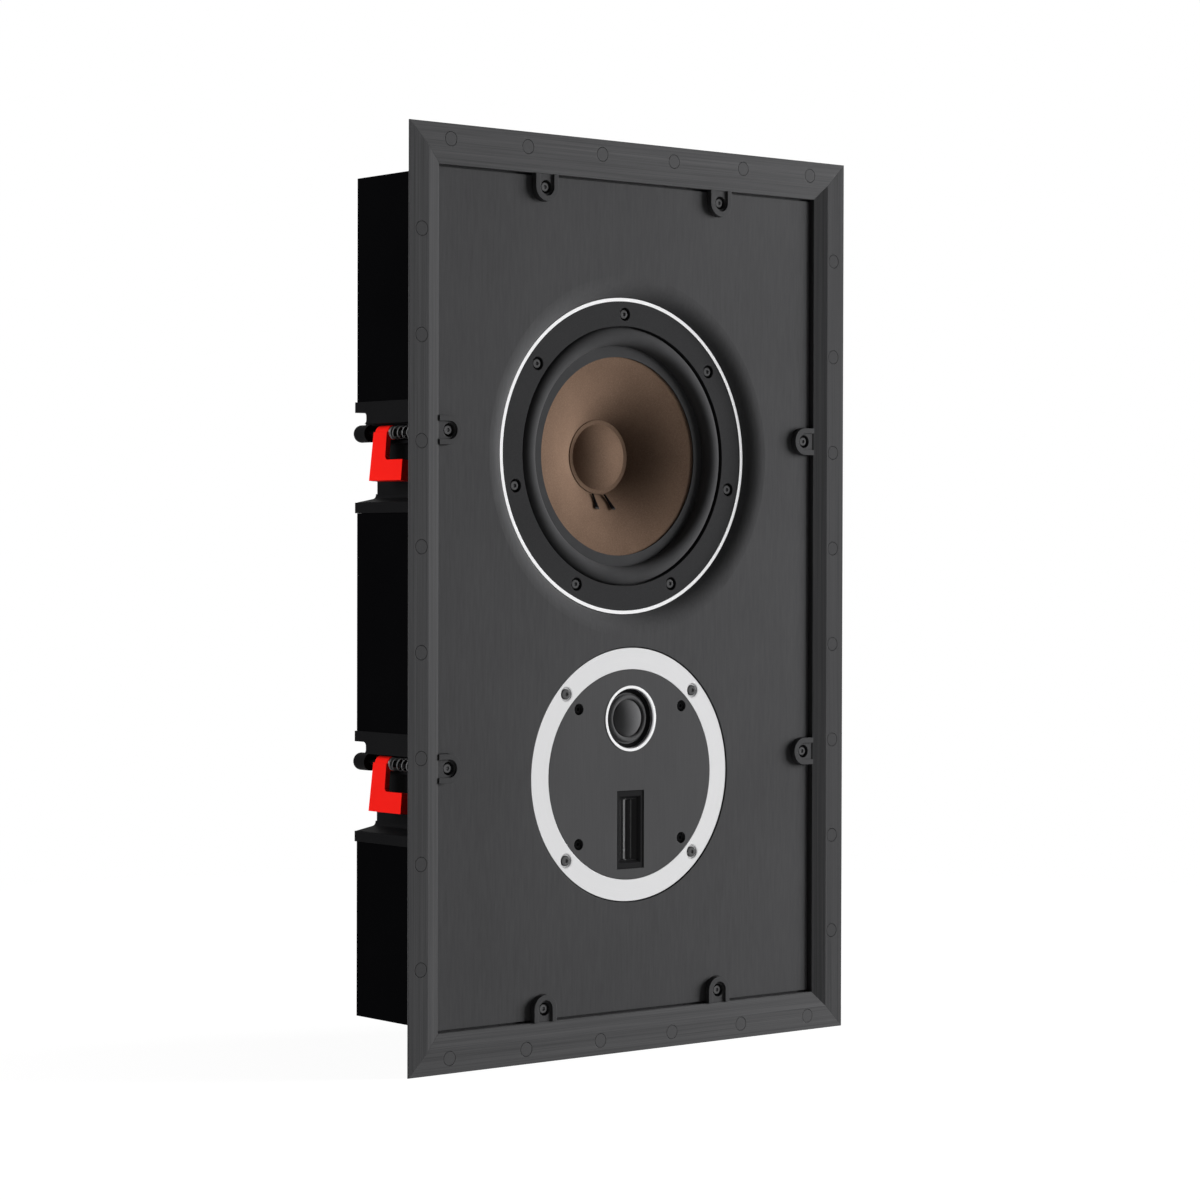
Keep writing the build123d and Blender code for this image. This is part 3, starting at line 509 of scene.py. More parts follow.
# the level rails are painted lighter: a painted sheen for the side light that their brushing catches
railTonesWithPaintedSheen = {0: (64, 88), 2: (54, 76)}
finishes = {
    "plain_aluminium": bareMetal(grey(170), grey(205), 0.35),
    "magnet_black": magnetBlack(railTonesWithPaintedSheen),
    "tab_paint": satinPaint(63, 71, 0.5, (1500, 1500, 1500)),
    "black_screws": blackedScrew(),
    "baffle_paint": satinPaint(65, 73, 0.5),
    "cabinet_black": matBlack(8, 0.7, specular=0.0),
    "trough_plastic": matBlack(15, 0.55, 3000),
    "clamp_steel": bareMetal(grey(150), grey(190), 0.3),
    "spring_steel": moulded(grey(120), grey(160), 0.3),
    "dogleg_red": moulded(shade(232, 26, 20), shade(242, 32, 25), 0.45, 0.0, 0.04),
    "ring_plastic": satinPaint(46, 54, 0.5, (1400, 1400, 1400)),
    "cast_basket": matBlack(44, 0.5, 1200, 0.3),
    "surround_rubber": softRubber(56, 66, 0.55),
    "cone_paper": paperPulp(),
    "coil_copper": woundWire(shade(176, 96, 56), shade(212, 128, 78), 0.0005),
    "spider_cloth": wovenCloth(shade(150, 112, 56), shade(196, 156, 92), 0.0007, 0.8),
    "motor_steel": bareMetal(grey(110), grey(140), 0.35),
    "ferrite": matBlack(58, 0.6, 1500, 0.3),
    "lead_braid": gluedBraid(),
    "tweeter_plate": satinPaint(70, 78, 0.48, (1600, 1600, 30)),
    "tweeter_casting": matBlack(20, 0.5, 1200, 0.02),
    "dome_textile": wovenCloth(grey(66), grey(88), 0.0005, 0.5, 0.03),
    "ribbon_bezel": matBlack(24, 0.4, 3000, 0.08),
    "ribbon_film": blackFilm(),
    "terminal_plastic": matBlack(26, 0.5, 2500, 0.2),
    "post_red": moulded(shade(190, 18, 14), shade(214, 30, 22), 0.25, 0.4),
    "post_black": moulded(grey(24), grey(32), 0.25, 0.4),
    "circuit_board": circuitGreen(),
    "capacitor_film": moulded(shade(186, 164, 60), shade(206, 184, 84), 0.3, 0.3),
    "damping_felt": feltWool(),
}
materials = {slot: surface(slot, sockets) for slot, sockets in finishes.items()}
slotOf = {part["node"]: part["material_slot"] for part in frame["record"]["subparts"]}
railFinish = {"frame_rail_left": 2, "frame_rail_right": 2, "frame_rail_top": 0, "frame_rail_bottom": 0}
# one copy of the rail finish for each direction, the level one with the painted sheen
rails = {along: surface("frame_anodised_" + "xyz"[along], brushedBlack(along, *tones))
         for along, tones in railTonesWithPaintedSheen.items()}
trimTones = {"woofer_trim_ring": (232, 246), "tweeter_ring": (209, 223), "dome_trim_ring": (232, 246)}
trims = {node: surface(node + "_trim", turnedMetal(mid(node), grey(low), grey(high)))
         for node, (low, high) in trimTones.items()}
for node, solid in cadNodes.items():
    if node in railFinish:
        finish = rails[railFinish[node]]
    elif node in trims:
        finish = trims[node]
    else:
        finish = materials[slotOf[node]]
    solid.data.materials.clear()
    solid.data.materials.append(finish)
print("finishes:", len(bpy.data.materials))


# Geometry Nodes helpers

def geoTree(name, sizes):
    tree = bpy.data.node_groups.new(name, "GeometryNodeTree")
    kinds = {int: "NodeSocketInt", float: "NodeSocketFloat", tuple: "NodeSocketVector"}
    tree.interface.new_socket("Geometry", in_out="INPUT", socket_type="NodeSocketGeometry")
    for label, value in sizes.items():
        tree.interface.new_socket(label, in_out="INPUT", socket_type=kinds[type(value)])
    tree.interface.new_socket("Geometry", in_out="OUTPUT", socket_type="NodeSocketGeometry")
    start = tree.nodes.new("NodeGroupInput")
    return Sock(tree), {socket.name: Sock(tree, socket) for socket in start.outputs if socket.name}


def closeTree(start, shape, finish):
    flat = start.node("GeometryNodeRealizeInstances", None, {"Geometry": shape})
    painted = start.node("GeometryNodeSetMaterial", None, {"Geometry": flat, "Material": finish})
    out = start.tree.nodes.new("NodeGroupOutput")
    start.plug(out.inputs[0], painted)
    return start.tree


def grow(name, tree, sizes, mesh=None):
    piece = bpy.data.objects.new(name, mesh or bpy.data.meshes.new(name + "_seed"))
    bpy.context.scene.collection.objects.link(piece)
    shaper = piece.modifiers.new("shape", "NODES")
    shaper.node_group = tree
    for socket in tree.interface.items_tree:
        if socket.in_out == "INPUT" and socket.name in sizes:
            shaper[socket.identifier] = sizes[socket.name]
    bpy.context.view_layer.update()
    made = bpy.data.meshes.new_from_object(piece.evaluated_get(bpy.context.evaluated_depsgraph_get()))
    piece.modifiers.clear()
    piece.data = made
    made.name = name
    smooth(made)
    return piece


def smooth(mesh, angle=35):
    mesh.shade_smooth()
    mesh.set_sharp_from_angle(angle=math.radians(angle))


def meshPiece(name, verts, faces, finish):
    mesh = bpy.data.meshes.new(name)
    mesh.from_pydata(verts, [], faces)
    work = bmesh.new()
    work.from_mesh(mesh)
    bmesh.ops.remove_doubles(work, verts=work.verts, dist=1e-7)
    bmesh.ops.recalc_face_normals(work, faces=work.faces)
    work.to_mesh(mesh)
    work.free()
    mesh.materials.append(finish)
    smooth(mesh)
    piece = bpy.data.objects.new(name, mesh)
    bpy.context.scene.collection.objects.link(piece)
    return piece


# Button-head screws with hex sockets

socketLook = {"chamfer": 0.00025, "flare": 1.12, "crown": 5}


def screwMesh(look):
    sides = look["sides"]
    ringOf = [(look["socket"], look["depth"], 6), (look["socket"], socketLook["chamfer"], 6),
              (look["socket"] * socketLook["flare"], 0.0, sides), (look["flat"], 0.0, sides)]
    for i in range(1, socketLook["crown"] + 1):
        turn = math.pi / 2 * i / socketLook["crown"]
        reach = look["flat"] + (look["radius"] - look["flat"]) * math.sin(turn)
        drop = (look["height"] - look["brim"]) * (1 - math.cos(turn))
        ringOf.append((reach, drop, sides))
    ringOf.append((look["radius"], look["height"], sides))
    ringOf.append((look["shank"], look["height"], sides))
    ringOf.append((look["shank"], look["length"], sides))
    verts, faces = [], []
    for reach, drop, flats in ringOf:
        for i in range(sides):
            turn = 2 * math.pi * i / sides
            if flats == 6:
                local = (turn % (math.pi / 3)) - math.pi / 6
                r = reach * math.cos(math.pi / 6) / math.cos(local)
            else:
                r = reach
            verts.append((r * math.cos(turn), drop, r * math.sin(turn)))
    for k in range(len(ringOf) - 1):
        for i in range(sides):
            j = (i + 1) % sides
            faces.append((k * sides + i, k * sides + j, (k + 1) * sides + j, (k + 1) * sides + i))
    faces.append(tuple(range(sides)))
    last = (len(ringOf) - 1) * sides
    faces.append(tuple(last + i for i in range(sides)))
    piece = meshPiece("screwShape", verts, faces, materials["black_screws"])
    mesh = piece.data
    bpy.data.objects.remove(piece)
    return mesh


screwLook = {"sides": 24, "radius": 0.0038, "flat": 0.0021, "height": 0.0022, "brim": 0.0006, "socket": 0.0014,
             "depth": 0.0013, "shank": 0.0024}
screwSizes = {"Count": 4, "Radius X": 0.1, "Radius Z": 0.1, "First Turn": 0.0, "Centre": (0.0, 0.0, 0.0), "Seed": 3}


def screwTree(finish):
    start, size = geoTree("screwPattern", screwSizes)
    step = start.node("GeometryNodeInputIndex") / size["Count"]
    turn = size["First Turn"] + step * (2 * math.pi)
    spot = start.node("ShaderNodeCombineXYZ", None, {
        "X": turn.calc("COSINE", turn) * size["Radius X"], "Z": turn.calc("SINE", turn) * size["Radius Z"]})
    spot = start.node("ShaderNodeVectorMath", {"operation": "ADD"}, {0: spot, 1: size["Centre"]})
    points = start.node("GeometryNodePoints", None, {"Count": size["Count"], "Position": spot})
    spin = start.node("FunctionNodeRandomValue", {"data_type": "FLOAT"},
                      {2: 0.0, 3: math.pi, "Seed": size["Seed"]}, 1)
    lean = start.node("ShaderNodeCombineXYZ", None, {"Y": spin})
    placed = start.node("GeometryNodeInstanceOnPoints", None,
                        {"Points": points, "Instance": size["Geometry"], "Rotation": lean})
    return closeTree(start, placed, finish)


screwPattern = screwTree(materials["black_screws"])
# the plate's screws are smaller, lower and plain black
plateRadius = 0.0032
plateShare = plateRadius / screwLook["radius"]
plateLook = {key: value if key == "sides" else value * plateShare for key, value in screwLook.items()}
plateLook.update(height=0.0013, depth=0.0009)
platePattern = screwTree(surface("plate_screws", matBlack(15, 0.45, 1500)))
for node, count in (("woofer_screws", 7), ("tab_screws", 4), ("tweeter_ring_screws", 4), ("faceplate_screws", 4)):
    lo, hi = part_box(node)
    onPlate = node == "faceplate_screws"
    look, pattern = (plateLook, platePattern) if onPlate else (screwLook, screwPattern)
    look = dict(look, length=hi.y - lo.y)
    radius = look["radius"]
    if node == "woofer_screws":
        # on a circle, the first one at the top
        first = math.pi / 2
        upward = across = hi.z - radius - wooferAt.z
        centre = (0.0, lo.y, wooferAt.z)
    else:
        # on the corners of a rectangle, which an ellipse meets at each eighth of a turn
        first = math.pi / 4
        across = (hi.x - radius) * math.sqrt(2)
        upward = ((hi.z - lo.z) / 2 - radius) * math.sqrt(2)
        centre = (0.0, lo.y, (lo.z + hi.z) / 2)
    sizes = dict(screwSizes, Count=count, Centre=centre)
    sizes.update({"Radius X": across, "Radius Z": upward, "First Turn": first})
    screws = grow(node + "_heads", pattern, sizes, screwMesh(look))
    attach(screws, "speaker")
    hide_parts(node)
print("screws done")


# Clamps: coil spring on each screw, and the screw's thread

springLook = {"wire": 0.00036, "turns": 11.0, "deadTurns": 1.0, "perTurn": 24, "round": 8, "closed": 2.05,
              "gap": 0.00008}
springSizes = {"Front": 0.0, "Back": 0.1, "Coil Radius": 0.004, "Wire Radius": 0.0005, "Turns": 11.0,
               "Dead Turns": 1.0, "Centre": (0.0, 0.0, 0.0)}


def springTree():
    start, size = geoTree("coilSpring", springSizes)
    points = int(springLook["turns"] * springLook["perTurn"])
    line = start.node("GeometryNodeCurvePrimitiveLine")
    line = start.node("GeometryNodeResampleCurve", None, {"Curve": line, "Count": points})
    along = start.node("GeometryNodeSplineParameter", pick="Factor")
    turns = along * size["Turns"]
    turn = turns * (2 * math.pi)
    # a closed turn at each end, the rest spread evenly between
    first = turns.calc("MINIMUM", turns, size["Dead Turns"])
    last = turns.calc("MAXIMUM", turns - (size["Turns"] - size["Dead Turns"]), 0.0)
    spread = turns - first - last
    flat = size["Wire Radius"] * springLook["closed"]
    room = size["Back"] - size["Front"] - flat * size["Dead Turns"] * 2.0
    depth = size["Front"] + (first + last) * flat + spread * room / (size["Turns"] - size["Dead Turns"] * 2.0)
    spot = start.node("ShaderNodeCombineXYZ", None, {
        "X": turn.calc("COSINE", turn) * size["Coil Radius"], "Y": depth,
        "Z": turn.calc("SINE", turn) * size["Coil Radius"]})
    spot = start.node("ShaderNodeVectorMath", {"operation": "ADD"}, {0: spot, 1: size["Centre"]})
    coil = start.node("GeometryNodeSetPosition", None, {"Geometry": line, "Position": spot})
    section = start.node("GeometryNodeCurvePrimitiveCircle", None,
                         {"Resolution": springLook["round"], "Radius": size["Wire Radius"]})
    wire = start.node("GeometryNodeCurveToMesh", None, {"Curve": coil, "Profile Curve": section, "Fill Caps": True})
    return closeTree(start, wire, materials["spring_steel"])


threadLook = {"pitch": 0.00224, "core": 0.002, "crest": 0.0024, "perTurn": 16, "round": 4, "runOut": 0.5}
threadSizes = {"Start": 0.0, "Length": 0.09, "Turns": 40.0, "Core": 0.002, "Height": 0.0004,
               "Centre": (0.0, 0.0, 0.0)}


def threadTree():
    # a ridge wound round the shank, joined to the head that comes in as the mesh
    start, size = geoTree("clampThread", threadSizes)
    line = start.node("GeometryNodeCurvePrimitiveLine")
    steps = start.node("FunctionNodeFloatToInt", None, {0: size["Turns"] * float(threadLook["perTurn"])})
    line = start.node("GeometryNodeResampleCurve", None, {"Curve": line, "Count": steps})
    along = start.node("GeometryNodeSplineParameter", pick="Factor")
    turn = along * size["Turns"] * (2 * math.pi)
    spot = start.node("ShaderNodeCombineXYZ", None, {
        "X": turn.calc("COSINE", turn) * size["Core"], "Y": size["Start"] + along * size["Length"],
        "Z": turn.calc("SINE", turn) * size["Core"]})
    helix = start.node("GeometryNodeSetPosition", None, {"Geometry": line, "Position": spot})
    section = start.node("GeometryNodeCurvePrimitiveCircle", None,
                         {"Resolution": threadLook["round"], "Radius": size["Height"]})
    ridge = start.node("GeometryNodeCurveToMesh", None, {"Curve": helix, "Profile Curve": section, "Fill Caps": True})
    both = start.node("GeometryNodeJoinGeometry", None, {0: ridge})
    start.tree.links.new(size["Geometry"].out, both.out.node.inputs[0])
    moved = start.node("GeometryNodeTransform", None, {"Geometry": both, "Translation": size["Centre"]})
    return closeTree(start, moved, materials["black_screws"])


threadShape = threadTree()
for corner in corners:
    node = "clamp_screw_" + corner
    lo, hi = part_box(node)
    centre = (lo + hi) / 2
    look = dict(screwLook, length=hi.y - lo.y, shank=threadLook["core"])
    threadStart = look["height"] + threadLook["pitch"]
    run = look["length"] - threadStart - threadLook["pitch"] * threadLook["runOut"]
    sizes = {"Start": threadStart, "Length": run, "Turns": run / threadLook["pitch"], "Core": threadLook["core"],
             "Height": threadLook["crest"] - threadLook["core"], "Centre": (centre.x, lo.y, centre.z)}
    screw = grow("threaded_screw_" + corner, threadShape, sizes, screwMesh(look))
    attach(screw, "screw_" + corner)
    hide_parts(node)


springShape = springTree()
for corner in corners:
    node = "clamp_spring_" + corner
    lo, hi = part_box(node)
    centre = (lo + hi) / 2
    wire = springLook["wire"]
    sizes = {"Front": lo.y + wire, "Back": hi.y - wire - springLook["gap"], "Coil Radius": (hi.x - lo.x) / 2 - wire,
             "Wire Radius": wire, "Turns": springLook["turns"], "Dead Turns": springLook["deadTurns"],
             "Centre": (centre.x, 0.0, centre.z)}
    spring = grow("coil_spring_" + corner, springShape, sizes)
    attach(spring, "speaker")
    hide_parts(node)
    travel = next(j for j in frame["joints"] if j["name"] == "draw_clamp_" + corner)["range_m"][1]
    keep = (hi.y - lo.y - travel) / (hi.y - lo.y)
    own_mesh(spring)
print("clamps done")


# Soft rings between the frame and a moving driver

def turnedPiece(name, outline, centre, steps, finish):
    verts, faces = [], []
    count = len(outline)
    for i in range(steps):
        turn = 2 * math.pi * i / steps
        for reach, depth in outline:
            verts.append((centre.x + reach * math.cos(turn), depth, centre.z + reach * math.sin(turn)))
    for i in range(steps):
        nextRow = (i + 1) % steps
        for k in range(count):
            m = (k + 1) % count
            faces.append((i * count + k, i * count + m, nextRow * count + m, nextRow * count + k))
    return meshPiece(name, verts, faces, finish)


def flex(piece, node):
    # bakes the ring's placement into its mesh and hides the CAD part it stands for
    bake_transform(piece)
    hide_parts(node)


def rollOutline(look):
    # half-roll between an outer lip and an inner flange, as a closed section of even thickness
    middle = (look["outer"] + look["inner"]) / 2
    big = (look["outer"] - look["inner"]) / 2
    small = big - look["thick"]
    turns = [math.pi * i / look["arcSteps"] for i in range(look["arcSteps"] + 1)]
    outline = [(look["rim"], look["lip"]), (look["outer"], look["lip"])]
    outline += [(middle + big * math.cos(t), look["base"] - big * math.sin(t)) for t in turns]
    outline += [(look["inner"], look["flange"]), (look["edge"], look["flange"])]
    outline += [(look["edge"], look["flange"] + look["thick"]),
                (look["inner"] + look["thick"], look["flange"] + look["thick"])]
    outline += [(middle - small * math.cos(t), look["base"] - small * math.sin(t)) for t in turns]
    outline += [(look["rim"], look["lip"] + look["thick"])]
    return outline


surroundLook = {"outer": 0.093, "inner": 0.0795, "edge": 0.0715, "thick": 0.001, "step": 0.002, "arcSteps": 16,
                "steps": 128}
lo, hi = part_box("woofer_surround")
surroundLook.update(rim=(hi.x - lo.x) / 2, flange=hi.y - surroundLook["thick"])
surroundLook["base"] = hi.y - surroundLook["step"]
surroundLook["lip"] = surroundLook["base"] - surroundLook["thick"]
surround = turnedPiece("woofer_roll", rollOutline(surroundLook), wooferAt, surroundLook["steps"],
                       materials["surround_rubber"])
flex(surround, "woofer_surround")

domeRoll = {"outer": 0.0173, "inner": 0.0135, "edge": 0.0135, "thick": 0.0005, "arcSteps": 10, "steps": 72}
lo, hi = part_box("dome_surround")
domeRoll.update(rim=(hi.x - lo.x) / 2, lip=hi.y - domeRoll["thick"], flange=hi.y - domeRoll["thick"],
                base=hi.y - domeRoll["thick"])
domeRing = turnedPiece("dome_roll", rollOutline(domeRoll), domeAt, domeRoll["steps"], materials["dome_textile"])
flex(domeRing, "dome_surround")

spiderLook = {"waves": 4, "perWave": 10, "thick": 0.001, "steps": 96, "inner": 0.0238}
lo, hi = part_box("spider")
spiderLook.update(outer=(hi.x - lo.x) / 2, height=hi.y - lo.y - spiderLook["thick"], front=lo.y)
count = spiderLook["waves"] * spiderLook["perWave"]
crest = []
for i in range(count + 1):
    reach = spiderLook["inner"] + (spiderLook["outer"] - spiderLook["inner"]) * i / count
    wave = 0.5 + 0.5 * math.cos(2 * math.pi * i / spiderLook["perWave"])
    crest.append((reach, spiderLook["front"] + spiderLook["height"] * wave))
behind = [(reach, depth + spiderLook["thick"]) for reach, depth in reversed(crest)]
cloth = turnedPiece("corrugated_spider", crest + behind, wooferAt, spiderLook["steps"], materials["spider_cloth"])
flex(cloth, "spider")
print("soft rings done")


# Lead wires on the cone: twisted strands that splay where the glue holds them

def vectorMaths(operation, first, second, pick=0):
    return first.node("ShaderNodeVectorMath", {"operation": operation}, {0: first, 1: second}, pick)


def between(fac, first, second):
    return fac.node("ShaderNodeMix", {"data_type": "VECTOR"}, {0: fac, 4: first, 5: second}, 1)


leadLook = {"points": 14, "round": 6, "flat": 0.55, "shortest": 0.55}
leadSizes = {"Start A": (0.0, 0.0, 0.0), "End A": (0.0, 0.0, 0.01), "Start B": (0.0, 0.0, 0.0),
             "End B": (0.0, 0.0, 0.01), "Strands": 10, "Strand Radius": 0.00032, "Twist": 1.4, "Near": 0.0006,
             "Far": 0.002, "Seed": 5}


def leadTree():
    start, size = geoTree("leadWires", leadSizes)
    line = start.node("GeometryNodeCurvePrimitiveLine")
    line = start.node("GeometryNodeResampleCurve", None, {"Curve": line, "Count": leadLook["points"]})
    seeds = start.node("GeometryNodePoints", None, {"Count": size["Strands"] * 2.0})
    strands = start.node("GeometryNodeInstanceOnPoints", None, {"Points": seeds, "Instance": line})
    strands = start.node("GeometryNodeRealizeInstances", None, {"Geometry": strands})
    which = start.node("GeometryNodeCurveOfPoint", pick="Curve Index")
    along = start.node("GeometryNodeSplineParameter", pick="Factor")
    second = which.calc("GREATER_THAN", which, size["Strands"] - 0.5)
    root = between(second, size["Start A"], size["Start B"])
    tip = between(second, size["End A"], size["End B"])
    beside = vectorMaths("CROSS_PRODUCT", vectorMaths("SUBTRACT", tip, root), (0, 1, 0))
    beside = start.node("ShaderNodeVectorMath", {"operation": "NORMALIZE"}, {0: beside})
    stray = start.node("FunctionNodeRandomValue", {"data_type": "FLOAT"},
                       {2: leadLook["shortest"], 3: 1.0, "ID": which, "Seed": size["Seed"]}, 1)
    turn = (which / size["Strands"] + along * size["Twist"]) * (2 * math.pi)
    reach = (size["Near"] + (size["Far"] - size["Near"]) * along * along) * stray
    wide = start.node("ShaderNodeVectorMath", {"operation": "SCALE"},
                      {0: beside, "Scale": turn.calc("COSINE", turn) * reach})
    deep = start.node("ShaderNodeCombineXYZ", None, {"Y": turn.calc("SINE", turn) * size["Near"] * leadLook["flat"]})
    spot = vectorMaths("ADD", vectorMaths("ADD", between(along, root, tip), wide), deep)
    strands = start.node("GeometryNodeSetPosition", None, {"Geometry": strands, "Position": spot})
    section = start.node("GeometryNodeCurvePrimitiveCircle", None,
                         {"Resolution": leadLook["round"], "Radius": size["Strand Radius"]})
    wires = start.node("GeometryNodeCurveToMesh", None,
                       {"Curve": strands, "Profile Curve": section, "Fill Caps": True})
    return closeTree(start, wires, materials["lead_braid"])


spots = np.array([v.co for v in cadNodes["lead_wires"].data.vertices])
fromAxis = np.hypot(spots[:, 0] - wooferAt.x, spots[:, 2] - wooferAt.z)
sizes = dict(leadSizes)
for name, mine in (("A", spots[:, 0] < 0), ("B", spots[:, 0] > 0)):
    half = (fromAxis[mine].min() + fromAxis[mine].max()) / 2
    sizes["Start " + name] = tuple(float(c) for c in spots[mine & (fromAxis < half)].mean(axis=0))
    sizes["End " + name] = tuple(float(c) for c in spots[mine & (fromAxis > half)].mean(axis=0))
leads = grow("tinsel_leads", leadTree(), sizes)
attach(leads, "woofer_diaphragm")
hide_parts("lead_wires")
print("leads done")


# Ribs round the binding posts' caps

ribLook = {"sides": 8, "front": 0.012, "back": 0.001}
ribSizes = {"Ribs": 22, "Reach": 0.0059, "Rib Radius": 0.00048, "Length": 0.011, "Centre": (0.0, 0.0, 0.0)}


def ribTree(finish):
    start, size = geoTree("postRibs", ribSizes)
    turn = start.node("GeometryNodeInputIndex") / size["Ribs"] * (2 * math.pi)
    spot = start.node("ShaderNodeCombineXYZ", None, {
        "X": turn.calc("COSINE", turn) * size["Reach"], "Z": turn.calc("SINE", turn) * size["Reach"]})
    points = start.node("GeometryNodePoints", None,
                        {"Count": size["Ribs"], "Position": vectorMaths("ADD", spot, size["Centre"])})
    rib = start.node("GeometryNodeMeshCylinder", None,
                     {"Vertices": ribLook["sides"], "Radius": size["Rib Radius"], "Depth": size["Length"]})
    rib = start.node("GeometryNodeTransform", None, {"Geometry": rib, "Rotation": (math.pi / 2, 0, 0)})
    placed = start.node("GeometryNodeInstanceOnPoints", None, {"Points": points, "Instance": rib})
    return closeTree(start, placed, finish)


for node, slot in (("binding_post_red", "post_red"), ("binding_post_black", "post_black")):
    lo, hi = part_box(node)
    front, back = hi.y - ribLook["front"], hi.y - ribLook["back"]
    sizes = dict(ribSizes, Length=back - front)
    sizes["Centre"] = ((lo.x + hi.x) / 2, (front + back) / 2, (lo.z + hi.z) / 2)
    ribs = grow(node + "_ribs", ribTree(materials[slot]), sizes)
    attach(ribs, "speaker")
print("posts done")


# Damping pad: a wool batt that swells between its edges and lies flat on the rear panel

padLook = {"inset": 0.004, "voxel": 0.005, "pressure": 4.0, "frames": 20, "cap": 0.004, "fill": 0.4}


def evaluated(piece):
    return bpy.data.meshes.new_from_object(piece.evaluated_get(bpy.context.evaluated_depsgraph_get()))


def woolPad(look):
    lo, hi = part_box("damping_pad")
    edge = Vector((look["inset"],) * 3)
    low, high = lo + edge, hi - edge
    high.y = hi.y
    ends = [(x, y, z) for x in (low.x, high.x) for y in (low.y, high.y) for z in (low.z, high.z)]
    sides = [(0, 1, 3, 2), (4, 6, 7, 5), (0, 4, 5, 1), (2, 3, 7, 6), (0, 2, 6, 4), (1, 5, 7, 3)]
    pad = meshPiece("wool_pad", ends, sides, materials["damping_felt"])
    remesh = pad.modifiers.new("voxels", "REMESH")
    remesh.mode = "VOXEL"
    remesh.voxel_size = look["voxel"]
    rest = evaluated(pad)
    pad.modifiers.clear()
    pad.data = rest
    before = np.array([v.co for v in rest.vertices])
    cloth = pad.modifiers.new("swell", "CLOTH")
    cloth.settings.use_pressure = True
    cloth.settings.uniform_pressure_force = look["pressure"]
    cloth.settings.effector_weights.gravity = 0
    for step in range(1, look["frames"] + 1):
        bpy.context.scene.frame_set(step)
    swollen = evaluated(pad)
    pad.modifiers.clear()
    bpy.context.scene.frame_set(1)
    move = np.array([v.co for v in swollen.vertices]) - before
    far = np.linalg.norm(move, axis=1, keepdims=True)
    after = before + move * np.minimum(1, look["cap"] / np.maximum(far, 1e-9))
    after = np.clip(after, np.array(lo), np.array(hi))
    rest.vertices.foreach_set("co", after.astype(np.float32).ravel())
    rest.update()
    rounder = pad.modifiers.new("rounder", "SUBSURF")
    rounder.levels = rounder.render_levels = 1
    pad.data = evaluated(pad)
    pad.modifiers.clear()
    pad.data.name = "wool_pad"
    pad.data.materials.clear()
    pad.data.materials.append(materials["damping_felt"])
    smooth(pad.data, 60)
    return pad


pad = woolPad(padLook)
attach(pad, "speaker")
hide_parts("damping_pad")
print("pad done")


# Stage: pale floor, white surroundings, soft studio light

stageLook = {"reach": 30.0, "near": 0.4, "far": 1.4, "world": 0.01, "glow": 0.75, "white": 0.9, "pale": 0.36,
             "seenPale": 0.9, "paper": 40, "paperShare": 0.05, "aim": (0, 0.02, 0)}


def seenRays(start):
    # the rays that show the background: straight from the camera, in gloss and through glass
    camera, gloss, through = (start.node("ShaderNodeLightPath", pick=ray) for ray in
                              ("Is Camera Ray", "Is Glossy Ray", "Is Transmission Ray"))
    return camera.calc("MAXIMUM", camera, gloss.calc("MAXIMUM", gloss, through))


def floorFinish():
    finish = bpy.data.materials.new("paleFloor")
    finish.use_nodes = True
    tree = finish.node_tree
    tree.nodes.clear()
    start = Sock(tree)
    at = start.node("ShaderNodeTexCoord", pick="Object")
    far = start.node("ShaderNodeVectorMath", {"operation": "LENGTH"}, {0: at}, "Value")
    paper = grain(at, stageLook["paper"], 3.0) * stageLook["paperShare"]
    seen = seenRays(start)
    pale = tint(seen, (stageLook["pale"],) * 3, (stageLook["seenPale"],) * 3)
    matte = start.node("ShaderNodeBsdfDiffuse", None, {"Color": tint(paper, pale, (1, 1, 1))})
    fade = limit((far - stageLook["near"]) / (stageLook["far"] - stageLook["near"]))
    # near the part, the glow and the lamps' light on the floor come to white together
    nearWhite = (stageLook["white"] / stageLook["glow"],) * 3
    white = start.node("ShaderNodeEmission", None, {"Color": tint(fade, nearWhite, (1, 1, 1)), "Strength": 1.0})
    share = seen * (stageLook["glow"] + fade * (1 - stageLook["glow"]))
    mixed = start.node("ShaderNodeMixShader", None, {0: share, 1: matte, 2: white})
    out = tree.nodes.new("ShaderNodeOutputMaterial")
    start.plug(out.inputs["Surface"], mixed)
    return finish


half = stageLook["reach"]
ground = cadBox[0].z
ends = [(x * half, y * half, ground) for x, y in ((-1, -1), (1, -1), (1, 1), (-1, 1))]
floor = meshPiece("floor", ends, [(0, 1, 2, 3)], floorFinish())

world = bpy.data.worlds.new("studio")
bpy.context.scene.world = world
world.use_nodes = True
world.node_tree.nodes.clear()
start = Sock(world.node_tree)
level = stageLook["world"] + seenRays(start) * (1.0 - stageLook["world"])
sky = start.node("ShaderNodeBackground", None, {"Color": (1, 1, 1), "Strength": level})
out = world.node_tree.nodes.new("ShaderNodeOutputWorld")
start.plug(out.inputs["Surface"], sky)

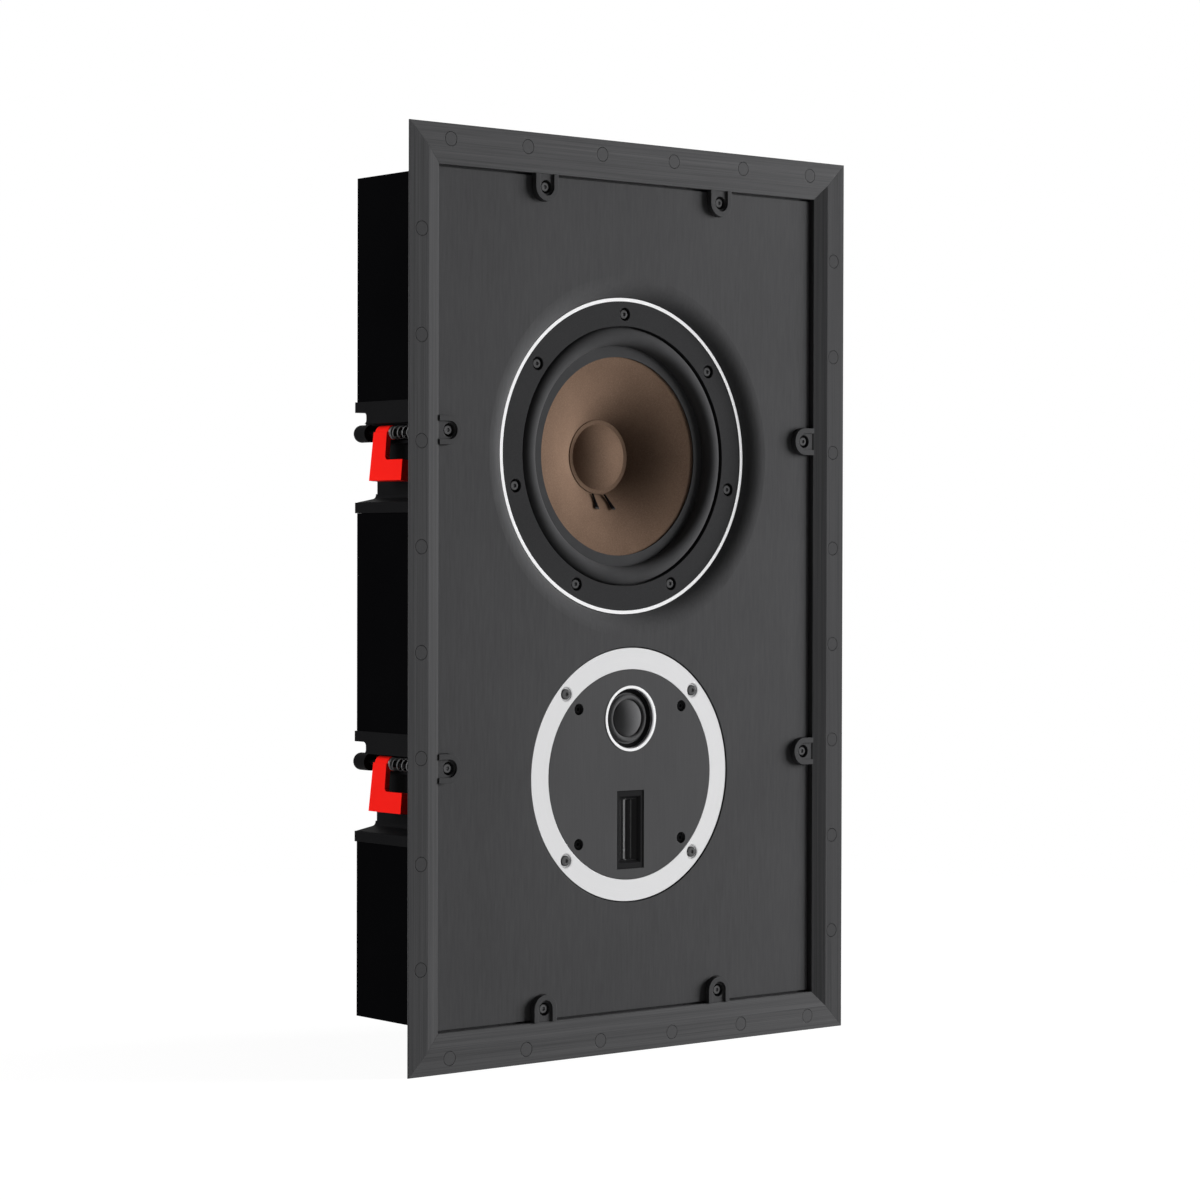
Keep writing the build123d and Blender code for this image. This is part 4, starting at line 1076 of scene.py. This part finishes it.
# the broad lamps give the light, the narrow strips only the gloss on round dark pieces
lampLook = {"key": {"place": (2.7, -1.38, 0.3), "size": (1.5, 1.5), "power": 208.0, "gloss": False},
            "side": {"place": (-2.4, 0.9, 0.5), "size": (1.4, 1.4), "power": 58.0, "gloss": False},
            "rightStrip": {"place": (2.6, -0.75, 0.2), "size": (0.25, 1.6), "power": 8.0, "gloss": True},
            "leftStrip": {"place": (-2.3, 0.1, 0.8), "size": (0.2, 1.2), "power": 4.0, "gloss": True}}
for name, look in lampLook.items():
    lamp = bpy.data.lights.new(name, "AREA")
    lamp.shape = "RECTANGLE"
    lamp.size, lamp.size_y = look["size"]
    lamp.energy = look["power"]
    holder = bpy.data.objects.new(name, lamp)
    holder.location = look["place"]
    holder.rotation_mode = "QUATERNION"
    holder.rotation_quaternion = (Vector(stageLook["aim"]) - Vector(look["place"])).to_track_quat("-Z", "Y")
    holder.visible_glossy = look["gloss"]
    bpy.context.scene.collection.objects.link(holder)

# Camera as the photograph has it
cameraLook = {"place": (-1.5118, -1.79632, 0.03015), "yaw": 39.4746, "pitch": -0.7745, "roll": 0.1336,
              "lens": 98.219, "sensor": 36.0, "clip": (0.05, 100)}
yaw, pitch, roll = (math.radians(cameraLook[key]) for key in ("yaw", "pitch", "roll"))
forward = Vector((math.sin(yaw) * math.cos(pitch), math.cos(yaw) * math.cos(pitch), math.sin(pitch)))
right = Vector((math.cos(yaw), -math.sin(yaw), 0))
upward = right.cross(forward)
right, upward = (right * math.cos(roll) + upward * math.sin(roll),
                 upward * math.cos(roll) - right * math.sin(roll))
eye = bpy.data.cameras.new("eye")
eye.lens = cameraLook["lens"]
eye.sensor_width = cameraLook["sensor"]
eye.clip_start, eye.clip_end = cameraLook["clip"]
viewer = bpy.data.objects.new("viewer", eye)
viewer.matrix_world = Matrix((right, upward, -forward)).transposed().to_4x4()
viewer.location = cameraLook["place"]
bpy.context.scene.collection.objects.link(viewer)
bpy.context.scene.camera = viewer
bpy.context.scene.view_settings.view_transform = "Standard"
print("stage done")
